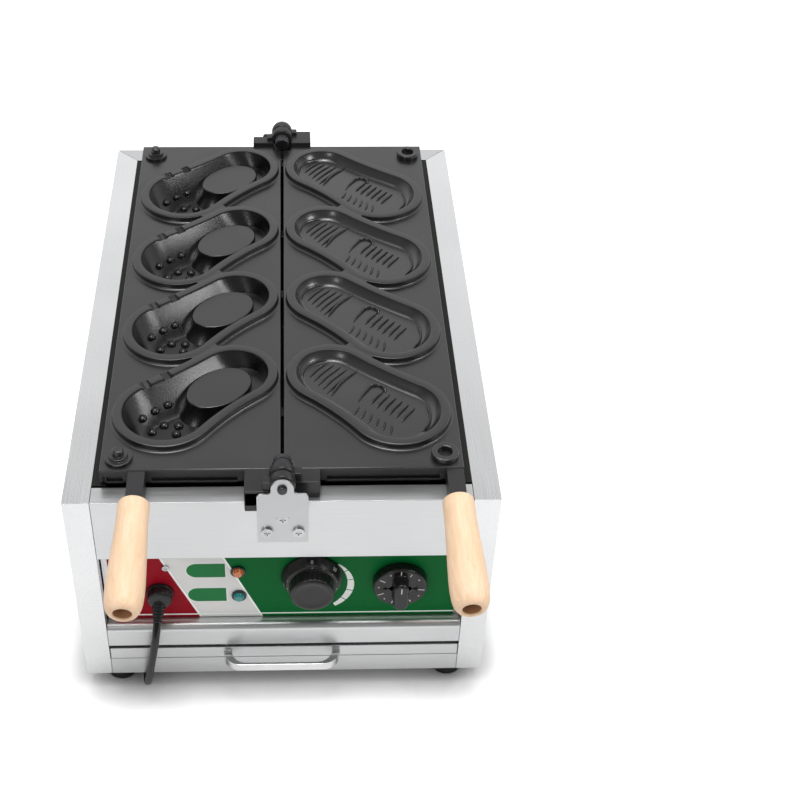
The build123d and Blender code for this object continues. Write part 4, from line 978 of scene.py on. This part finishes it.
def hinge_pin(node, inward):
    """Ground pin with its ribbed head towards the middle of the machine."""
    low, high = (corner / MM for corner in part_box(node))
    outer = low.y if inward > 0 else high.y
    length = high.y - low.y
    shank = (
        (0.0, 0.0), (0.0, pin_radius - 1.2), (0.35, pin_radius - 0.4), (1.1, pin_radius),
        (length - 2, pin_radius),
    )
    bm = bmesh.new()
    turned(bm, shank, Vector((0.0, outer, parting)), Vector((0.0, float(inward), 0.0)))
    loops = []
    for along, drawn_in in pin_head_steps:
        radius = pin_head_radius - drawn_in
        y = outer + inward * (length - pin_head_length + along)
        loop = []
        for angle in around(6 * pin_ribs):
            reach = grooved(radius, angle, pin_ribs, rib_share * radius, 2)
            loop.append(Vector((reach * math.cos(angle), y, parting + reach * math.sin(angle))))
        loops.append(loop)
    skin(bm, loops)
    to_metres(bm)
    finish_piece(f"{node}_ground", bm, "casing", [steel_pin], [node], smooth=34.0)


hinge_pin("front_hinge_pin", 1)
hinge_pin("rear_hinge_pin", -1)

# Wooden grips, in millimetres: profiles are pairs of distance along the grip and radius
grip_length = 104.0
grip_droop = math.radians(8.3)
grip_splay = math.radians(1.2)
grip_start_reach = 9.5
bore_radius = 7.4
bore_depth = 16.0
bar_hole = 4.1
grip_profile = (
    (0.3, bar_hole), (0.0, 5.0), (0.0, 11.4), (0.4, 12.3), (1.4, 12.9), (4.0, 13.1), (12.0, 13.05),
    (24.0, 13.2), (36.0, 13.7), (50.0, 14.4), (64.0, 15.1), (76.0, 15.6), (86.0, 15.6), (93.0, 15.15),
    (97.0, 14.5), (100.0, 13.4), (102.4, 11.8), (103.6, 10.2), (grip_length, 8.9), (103.8, 8.0),
    (103.2, 7.5), (102.4, bore_radius),
)
grip_bore = (
    (102.4, bore_radius), (grip_length - bore_depth, bore_radius), (grip_length - bore_depth, bar_hole)
)


def wooden_grip(node, side):
    """Turned beech grip that swells towards its end, with a counterbore for its nut."""
    axis = Vector(
        (
            side * math.sin(grip_splay),
            -math.cos(grip_droop) * math.cos(grip_splay),
            -math.sin(grip_droop),
        )
    )
    start = Vector((side * handle_reach[side], front / MM - grip_start_reach, plate_top - handle_drop))
    bm = bmesh.new()
    turned(bm, grip_profile, start, axis, 64)
    turned(bm, grip_bore, start, axis, 64, finish_index=1)
    to_metres(bm)
    body = nodes[node]["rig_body"]
    finish_piece(f"{node}_turned", bm, body, [beech, beech_bore], [node], smooth=40.0)


wooden_grip("left_grip", -1)
wooden_grip("right_grip", 1)

# Control knobs, in millimetres: across, up and out of the panel from the middle of each knob; rows
# hold a radius, the distance out of the panel and, on the fluted knob, the flutes' depth
dial_back = label_face / MM - 1.0
face_turn = Matrix(((1, 0, 0, 0), (0, 0, -1, 0), (0, 1, 0, 0), (0, 0, 0, 1)))
dial_foot = (26.3, 2.4)
dial_top = (22.9, 9.9)
dial_rows = (
    (25.9, 0.0, 0.0), (26.6, 0.3, 0.0), (26.8, 0.8, 0.0), (26.7, 1.9, 0.0), (*dial_foot, 0.0),
    (*dial_top, 0.0), (22.2, 10.5, 0.0), (20.6, 10.7, 0.0), (20.1, 11.0, 0.25), (19.8, 12.0, 0.55),
    (19.45, 20.2, 0.55), (19.2, 21.4, 0.4), (18.5, 22.4, 0.1), (17.3, 22.95, 0.0), (15.6, 23.0, 0.0),
    (14.2, 22.7, 0.0), (13.4, 22.2, 0.0), (9.0, 22.0, 0.0),
)
knob_flutes = 24
dial_step = 52
number_size = 4.6
number_place = (0, 24.72, 6.25)
number_dot_place = (0, 22.0, 10.56)
disc_rows = (
    (23.2, 0.0), (23.8, 0.3), (24.0, 0.9), (23.5, 7.2), (23.1, 8.3), (22.3, 8.9), (21.3, 9.05),
    (8.0, 9.05),
)
turn_bar_half_width = 7.0
turn_bar_straight = 9.5
turn_bar_steps = (
    (0.9, 8.6), (0.3, 9.1), (0.0, 9.9), (-0.6, 18.6), (-0.95, 19.9), (-1.7, 20.7), (-2.9, 21.0),
)
disc_print = 9.12
turn_bar_print = 21.05
line_lengths = {"long": 5.6, "short": 3.2}
timer_scale = (
    (118, "dot"), (149, "long"), (175, "dot"), (203, "long"), (224, "dot"), (249, "short"),
    (-61, "short"), (-31, "dot"), (-6, "long"), (34, "dot"), (62, "short"), (90, "long"),
)


def knob_place(node):
    """Matrix from a knob's own frame to its place on the panel, both in millimetres."""
    low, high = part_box(node)
    middle = (low + high) / 2 / MM
    return Matrix.Translation((middle.x, dial_back, middle.z)) @ face_turn


thermostat_place = knob_place("thermostat_knob")
timer_place = knob_place("timer_knob")


def round_loop(radius, out, flute=0.0, count=144):
    """Circle about a knob's middle at a distance out of the panel, with flutes of a depth."""
    loop = []
    for angle in around(count):
        reach = grooved(radius, angle, knob_flutes, flute, 3)
        loop.append(Vector((reach * math.cos(angle), reach * math.sin(angle), out)))
    return loop


def mesh_of(curve):
    """Mesh of a text or a curve, which is removed."""
    holder = bpy.data.objects.new("holder", curve)
    mesh = bpy.data.meshes.new_from_object(holder)
    bpy.data.objects.remove(holder)
    bpy.data.curves.remove(curve)
    return mesh


def number_mesh(value):
    """Flat mesh of a number, centred, from the built-in plain font."""
    text = bpy.data.curves.new("number", "FONT")
    text.body = str(value)
    text.size = number_size
    text.align_x = "CENTER"
    text.align_y = "CENTER"
    return mesh_of(text)


def dot(bm, place, radius):
    """Small round printed dot."""
    add_loop(bm, [place @ point for point in round_loop(radius, 0.0, count=16)], True)


def dash(bm, place, width, length):
    """Printed line, its middle at the place."""
    corners = ((-1, -1), (1, -1), (1, 1), (-1, 1))
    add_loop(bm, [place @ Vector((x * width / 2, y * length / 2, 0)) for x, y in corners], True)


def finish_knob(name, bm, node, place):
    """Move a moulded knob to its place on the panel and make it a piece."""
    bmesh.ops.transform(bm, matrix=place, verts=bm.verts)
    to_metres(bm)
    finish_piece(name, bm, nodes[node]["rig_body"], [phenolic], [node], smooth=40.0)


def finish_print(name, bm, node):
    """Make printed marks a piece that turns with their knob."""
    bmesh.ops.scale(bm, vec=(MM, MM, MM), verts=bm.verts)
    finish_piece(name, bm, nodes[node]["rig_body"], [dial_ink])


def thermostat_knob():
    """Round knob on a sloping dial, its side fluted and its face slightly hollow."""
    bm = bmesh.new()
    skin(bm, [round_loop(*row) for row in dial_rows])
    finish_knob("thermostat_knob_moulded", bm, "thermostat_knob", thermostat_place)


def thermostat_numbers():
    """Printed numbers and dots round the sloping dial."""
    bm = bmesh.new()
    slope = math.atan2(dial_foot[0] - dial_top[0], dial_top[1] - dial_foot[1])
    lean = Matrix.Rotation(-(math.pi / 2 - slope), 4, "X")
    for index in range(6):
        turn = Matrix.Rotation(math.radians(-dial_step * index), 4, "Z")
        number = number_mesh(50 * index)
        number.transform(thermostat_place @ turn @ Matrix.Translation(number_place) @ lean)
        bm.from_mesh(number)
        bpy.data.meshes.remove(number)
        for share in (0.0, 0.5):
            turn = Matrix.Rotation(math.radians(-dial_step * (index + share)), 4, "Z")
            place = thermostat_place @ turn @ Matrix.Translation(number_dot_place)
            dot(bm, place, 0.5 - 0.3 * share)
    finish_print("thermostat_numbers", bm, "thermostat_knob")


def timer_knob():
    """Round disc with a bar to turn it by."""
    bm = bmesh.new()
    skin(bm, [round_loop(*row) for row in disc_rows])
    loops = []
    for grow, out in turn_bar_steps:
        half_width = turn_bar_half_width + grow
        loop = []
        for angle in around(32, 0.5):
            lift = math.copysign(turn_bar_straight, math.sin(angle))
            loop.append(Vector((half_width * math.cos(angle), lift + half_width * math.sin(angle), out)))
        loops.append(loop)
    skin(bm, loops)
    finish_knob("timer_knob_moulded", bm, "timer_knob", timer_place)


def timer_marks():
    """Printed lines and dots round the timer's disc, and the pointer on its bar."""
    bm = bmesh.new()
    for degrees, kind in timer_scale:
        turn = timer_place @ Matrix.Rotation(math.radians(degrees - 90), 4, "Z")
        if kind == "dot":
            dot(bm, turn @ Matrix.Translation((0, 19.0, disc_print)), 0.7)
        else:
            dash(bm, turn @ Matrix.Translation((0, 18.4, disc_print)), 0.9, line_lengths[kind])
    dash(bm, timer_place @ Matrix.Translation((0, 9.4, turn_bar_print)), 1.0, 6.5)
    finish_print("timer_marks", bm, "timer_knob")


thermostat_knob()
thermostat_numbers()
timer_knob()
timer_marks()

# Marks printed on the label, in millimetres across and up
ink_face = label_face / MM - 0.04
tab_left = -84.2
tab_right = -50.6
tab_middles = (144.85, 113.5)
tab_half = 8.7
tab_edge = 0.7
scale_outer = (Vector((29.1, 124.7)), 32.5)
scale_inner = (Vector((20.3, 126.9)), 35.5)
scale_steps = (73.0, 55.6, 35.0, 12.0, -14.5, -38.6, -61.0)
scale_gap = 1.6


def on_label(points, lift=0.0):
    """Points across and up, placed on the face of the label."""
    return [Vector((point.x, ink_face + lift, point.y)) for point in points]


def inner_reach(way):
    """Distance from the outer circle's centre to the inner circle, in a direction."""
    offset = scale_outer[0] - scale_inner[0]
    along = offset.dot(way)
    return -along + math.sqrt(along**2 - offset.length_squared + scale_inner[1] ** 2)


def label_marks():
    """Blank tabs beside the lamps, with a pale edge, and the crescent scale beside the dial."""
    bm = bmesh.new()
    for middle in tab_middles:
        for grow, finish_index, lift in ((tab_edge, 1, 0.0), (0.0, 0, -0.03)):
            half = tab_half + grow
            right = tab_right + grow
            bend = arc_points(Vector((tab_left + tab_half, middle)), half, 90, 270, 24)
            outline = [Vector((right, middle - half)), Vector((right, middle + half)), *bend]
            tint_faces(add_loop(bm, on_label(outline, lift), True)[0], finish_index)
    for begin, end in zip(scale_steps, scale_steps[1:]):
        ways = arc_points(Vector((0.0, 0.0)), 1.0, begin - scale_gap / 2, end + scale_gap / 2, 12)
        outside = [scale_outer[0] + scale_outer[1] * way for way in ways]
        inside = [scale_outer[0] + inner_reach(way) * way for way in reversed(ways)]
        tint_faces(add_loop(bm, on_label(outside + inside), True)[0], 1)
    bmesh.ops.scale(bm, vec=(MM, MM, MM), verts=bm.verts)
    finish_piece("label_marks", bm, "casing", [green_ink, white_ink])


label_marks()

# Power cord's route, in metres: out of its boot, down past the drawer, under the casing, then a coil
# and the plug
gland = mm(-108.5, label_face / MM, 117.4)
cord_radius = 3.5 * MM
boot_tilt = math.radians(50)
boot_axis = Vector((-0.1, -math.cos(boot_tilt), -math.sin(boot_tilt))).normalized()
boot_root = gland - mm(0, 4, 0)
boot_length = 14 * MM
cord_exit = boot_root + boot_axis * boot_length
coil_radius = 46 * MM
coil_pitch = 7.7 * MM
coil_turns = 4
coil_points_a_turn = 16
coil_lift = 4.7 * MM
coil_centre = Vector((gland.x + 30.5 * MM, rear + 66 * MM, 0.0))
plug_height = 14 * MM


def coil_point(turn):
    """Point of the coil after a number of turns: in on the lower layer, out on the upper one."""
    half = coil_turns / 2
    radius = coil_radius - coil_pitch * (half - abs(turn - half))
    climb = min(max((turn - half + 0.25) / 0.5, 0.0), 1.0)
    height = coil_lift + coil_pitch * climb * climb * (3 - 2 * climb)
    angle = math.pi - 2 * math.pi * turn
    return coil_centre + Vector((radius * math.cos(angle), radius * math.sin(angle), height))


def cord_route():
    """Control points of the cord's one spline."""
    past_front = (
        (-9.5, -18.5, 58.0), (-14.0, -17.0, 32.2), (-17.0, -6.5, 14.0), (-19.0, 11.7, 3.5),
        (-20.0, 32.0, 3.5), (-22.66, 86.0, 3.5), (-15.0, 160.0, 3.5), (-24.0, 240.0, 3.5),
        (-13.0, 320.0, 3.5), (-22.0, 400.0, 3.5), (-12.0, 478.0, 3.5),
    )
    points = [cord_exit, cord_exit + boot_axis * (24 * MM)]
    points += [Vector((gland.x, front, 0)) + mm(*step) for step in past_front]
    start = coil_point(0)
    points += [Vector((start.x, rear + 8 * MM, start.z)), start - mm(0, 7, 0)]
    points += [coil_point(index / coil_points_a_turn) for index in range(coil_turns * coil_points_a_turn + 1)]
    end = coil_point(coil_turns)
    plug_entry = Vector((end.x - 9 * MM, end.y + 46 * MM, plug_height))
    points += [end + mm(-2, 14, 0.3), plug_entry - mm(0, 14, 0.3), plug_entry, plug_entry + mm(0, 7, 0)]
    return points


def spline_points(points):
    """Points along the smooth spline that has these control points."""
    curve = bpy.data.curves.new("cord_line", "CURVE")
    curve.dimensions = "3D"
    curve.resolution_u = 8
    spline = curve.splines.new("NURBS")
    spline.points.add(len(points) - 1)
    for place, point in zip(spline.points, points):
        place.co = (*point, 1.0)
    spline.order_u = 3
    spline.use_endpoint_u = True
    mesh = mesh_of(curve)
    line = [vert.co.copy() for vert in mesh.vertices]
    bpy.data.meshes.remove(mesh)
    return line


def tube(bm, line, radius):
    """Round tube along a line, its section carried forward without twist."""
    loops = []
    beside = (line[1] - line[0]).orthogonal().normalized()
    last = len(line) - 1
    for index, point in enumerate(line):
        way = (line[min(index + 1, last)] - line[max(index - 1, 0)]).normalized()
        beside = (beside - way * beside.dot(way)).normalized()
        other = way.cross(beside)
        loop = []
        for angle in around(20):
            loop.append(point + beside * (radius * math.cos(angle)) + other * (radius * math.sin(angle)))
        loops.append(loop)
    skin(bm, loops)


cord_line = spline_points(cord_route())
cord_bm = bmesh.new()
tube(cord_bm, cord_line, cord_radius)
bmesh.ops.recalc_face_normals(cord_bm, faces=cord_bm.faces)
cord_mesh = bpy.data.meshes.new("power_cord")
cord_bm.to_mesh(cord_mesh)
cord_bm.free()
cord_mesh.materials.append(pvc)
cord_mesh.shade_smooth()
power_cord = bpy.data.objects.new("power_cord", cord_mesh)
scene.collection.objects.link(power_cord)
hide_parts("power_cord_drop", "power_cord_run", "power_cord_coil")


def cord_gland():
    """Flange on the panel, a grooved nut and the ribbed boot that keeps the cord from kinking."""
    bm = bmesh.new()
    out = Vector((0.0, -1.0, 0.0))
    centre = gland / MM
    flange = ((0.0, 0.0), (0.0, 12.0), (2.2, 12.0), (2.9, 11.5), (3.1, 10.6), (3.1, 0.0))
    turned(bm, flange, centre, out)
    loops = []
    for along, radius in ((2.6, 10.6), (3.2, 11.0), (9.2, 10.7), (10.4, 10.0), (11.2, 8.8), (11.4, 6.4)):
        loop = []
        for angle in around(144):
            reach = grooved(radius, angle, 12, 0.5, 4)
            across = Vector((reach * math.cos(angle), 0.0, reach * math.sin(angle)))
            loop.append(centre + out * along + across)
        loops.append(loop)
    skin(bm, loops)
    boot = [(0.0, 0.0), (0.0, 6.8), (3.0, 6.9)]
    for index in range(6):
        start = 4.0 + 3.0 * index
        radius = 6.7 - 0.42 * index
        boot += [(start, radius), (start + 1.6, radius - 0.1)]
        boot += [(start + 1.9, radius - 0.9), (start + 2.7, radius - 1.0)]
    boot += [(22.4, 4.3), (22.9, 3.9), (22.9, 3.3)]
    turned(bm, boot, boot_root / MM, boot_axis)
    barrel = ((-13.0, 0.0), (-13.0, 6.4), (0.0, 6.4), (0.0, 0.0))
    turned(bm, barrel, centre, out)
    to_metres(bm)
    finish_piece("cord_gland_moulded", bm, "casing", [plug_pvc], ["cord_gland"], smooth=36.0)


def power_plug():
    """Round earthed plug with a ribbed strain relief, finger ridges and two pins."""
    bm = bmesh.new()
    entry = coil_point(coil_turns) + mm(-9, 46, 0)
    back = Vector((entry.x, entry.y + 7 * MM, plug_height)) / MM
    along_plug = Vector((0.0, 1.0, 0.0))
    profile = [(0.0, 3.3), (0.0, 4.6), (0.5, 5.0)]
    for index in range(5):
        start = 1.0 + 3.7 * index
        radius = 5.0 + 0.42 * index
        profile += [(start, radius), (start + 2.2, radius + 0.2)]
        profile += [(start + 2.5, radius - 0.8), (start + 3.3, radius - 0.7)]
    profile += [(20.0, 7.0), (21.6, 10.2), (24.0, 12.2), (28.0, 13.6)]
    for index in range(5):
        start = 29.0 + 3.4 * index
        profile += [(start, 14.0), (start + 1.8, 14.0), (start + 2.3, 13.3), (start + 2.9, 13.3)]
    profile += [(46.5, 14.0), (50.0, 14.0), (53.0, 13.2), (54.0, 12.2), (54.0, 0.0)]
    turned(bm, profile, back, along_plug)
    pin = ((53.0, 0.0), (53.0, 2.4), (71.5, 2.4), (72.6, 1.9), (73.0, 1.0), (73.0, 0.0))
    for x in (-9.5, 9.5):
        turned(bm, pin, back + Vector((x, 0.0, 0.0)), along_plug, 24, finish_index=1)
    to_metres(bm)
    finishes = [plug_pvc, steel_screw]
    return finish_piece("power_plug_moulded", bm, "casing", finishes, ["power_plug"], smooth=36.0)


cord_gland()
plug_piece = power_plug()
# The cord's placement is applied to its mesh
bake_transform(power_cord)

# Matt white paper under the object; its colour is darkened close to the feet and the casing by an occlusion
# mask, a painted contact shadow, and the camera sees it a little brighter than it lights the object
floor_bm = bmesh.new()
bmesh.ops.create_grid(floor_bm, x_segments=1, y_segments=1, size=4.0)
floor_mesh = bpy.data.meshes.new("floor")
floor_bm.to_mesh(floor_mesh)
floor_bm.free()
floor = bpy.data.objects.new("floor", floor_mesh)
scene.collection.objects.link(floor)
floor_paper, tree, place = blank_material("floor_paper")
nearby = add_node(tree, "ShaderNodeAmbientOcclusion", {"Distance": 42 * MM}, samples=2)
painted_contact_shadow = add_node(tree, "ShaderNodeMath", {0: nearby.outputs["AO"], 1: 2.0}, operation="POWER")
# Near-black paper colour where the object is close: the painted contact shadow
tones = {0: painted_contact_shadow.outputs[0], 6: linear("#0C0C0C"), 7: linear("#ECECEC")}
white = add_node(tree, "ShaderNodeMix", tones, data_type="RGBA").outputs[2]
paper = add_node(tree, "ShaderNodeBsdfDiffuse", {"Color": white}).outputs[0]
glow = add_node(tree, "ShaderNodeEmission", {"Color": white, "Strength": 0.6}).outputs[0]
lifted = add_node(tree, "ShaderNodeAddShader", {0: paper, 1: glow}).outputs[0]
by_camera = add_node(tree, "ShaderNodeLightPath", {}).outputs["Is Camera Ray"]
seen = add_node(tree, "ShaderNodeMixShader", {0: by_camera, 1: paper, 2: lifted})
add_node(tree, "ShaderNodeOutputMaterial", {"Surface": seen.outputs[0]})
floor_mesh.materials.append(floor_paper)

# White surround: even white to look at; polished parts mirror a pale band above the horizon that is
# brightest behind the object, and its soft light on the object grows towards the top
world = bpy.data.worlds.new("surround")
scene.world = world
world.use_nodes = True
tree = world.node_tree
tree.nodes.clear()
rays = add_node(tree, "ShaderNodeLightPath", {})
way = add_node(tree, "ShaderNodeTexCoord", {})
towards = add_node(tree, "ShaderNodeSeparateXYZ", {"Vector": way.outputs["Generated"]})
ramps = []
for axis, begin, end, low, high in (
    ("Z", -0.1, 0.3, 0.0, 1.0),
    ("Z", 0.61, 0.79, 1.0, 0.15),
    ("Y", -0.2, 0.35, 0.2, 1.0),
    ("Z", 0.05, 0.75, 0.15, 0.8),
):
    limits = {"From Min": begin, "From Max": end, "To Min": low, "To Max": high}
    ramp = add_node(tree, "ShaderNodeMapRange", {"Value": towards.outputs[axis]} | limits)
    ramps.append(ramp.outputs[0])
above_horizon, below_zenith, behind, lighting = ramps
band = add_node(tree, "ShaderNodeMath", {0: above_horizon, 1: below_zenith}, operation="MULTIPLY")
wall = add_node(tree, "ShaderNodeMath", {0: band.outputs[0], 1: behind}, operation="MULTIPLY")
mirrored = add_node(tree, "ShaderNodeMath", {0: wall.outputs[0], 1: 0.95, 2: 0.05}, operation="MULTIPLY_ADD")
choice = {0: rays.outputs["Is Glossy Ray"], 2: lighting, 3: mirrored.outputs[0]}
in_mirror = add_node(tree, "ShaderNodeMix", choice)
straight = {0: rays.outputs["Is Camera Ray"], 1: rays.outputs["Is Transmission Ray"]}
seen_through = add_node(tree, "ShaderNodeMath", straight, operation="ADD", use_clamp=True)
choice = {0: seen_through.outputs[0], 2: in_mirror.outputs[0], 3: 1.0}
strength = add_node(tree, "ShaderNodeMix", choice)
glowing = {"Color": (1.0, 1.0, 1.0, 1.0), "Strength": strength.outputs[0]}
surround = add_node(tree, "ShaderNodeBackground", glowing)
add_node(tree, "ShaderNodeOutputWorld", {"Surface": surround.outputs[0]})


def soft_lamp(name, place, target, size, power):
    """Soft box at a place, turned to a target."""
    light = bpy.data.lights.new(name, "AREA")
    light.shape = "RECTANGLE"
    light.size = size[0]
    light.size_y = size[1]
    light.energy = power
    lamp = bpy.data.objects.new(name, light)
    scene.collection.objects.link(lamp)
    lamp.location = place
    lamp.rotation_euler = (Vector(target) - Vector(place)).to_track_quat("-Z", "Y").to_euler()


soft_lamp("overhead_box", (-0.1, 0.0, 2.2), (0, 0, 0.1), (1.5, 1.4), 13.5)
soft_lamp("key_box", (-0.1, -0.15, 2.0), (0, 0, 0.1), (0.45, 0.45), 7.5)
soft_lamp("right_box", (1.05, -0.4, 1.05), (-0.05, 0.0, 0.25), (0.4, 0.4), 4.5)
soft_lamp("camera_side_box", (-0.8, -1.3, 1.1), (0, 0, 0.2), (0.4, 0.4), 2.7)

scene.view_settings.view_transform = "Standard"
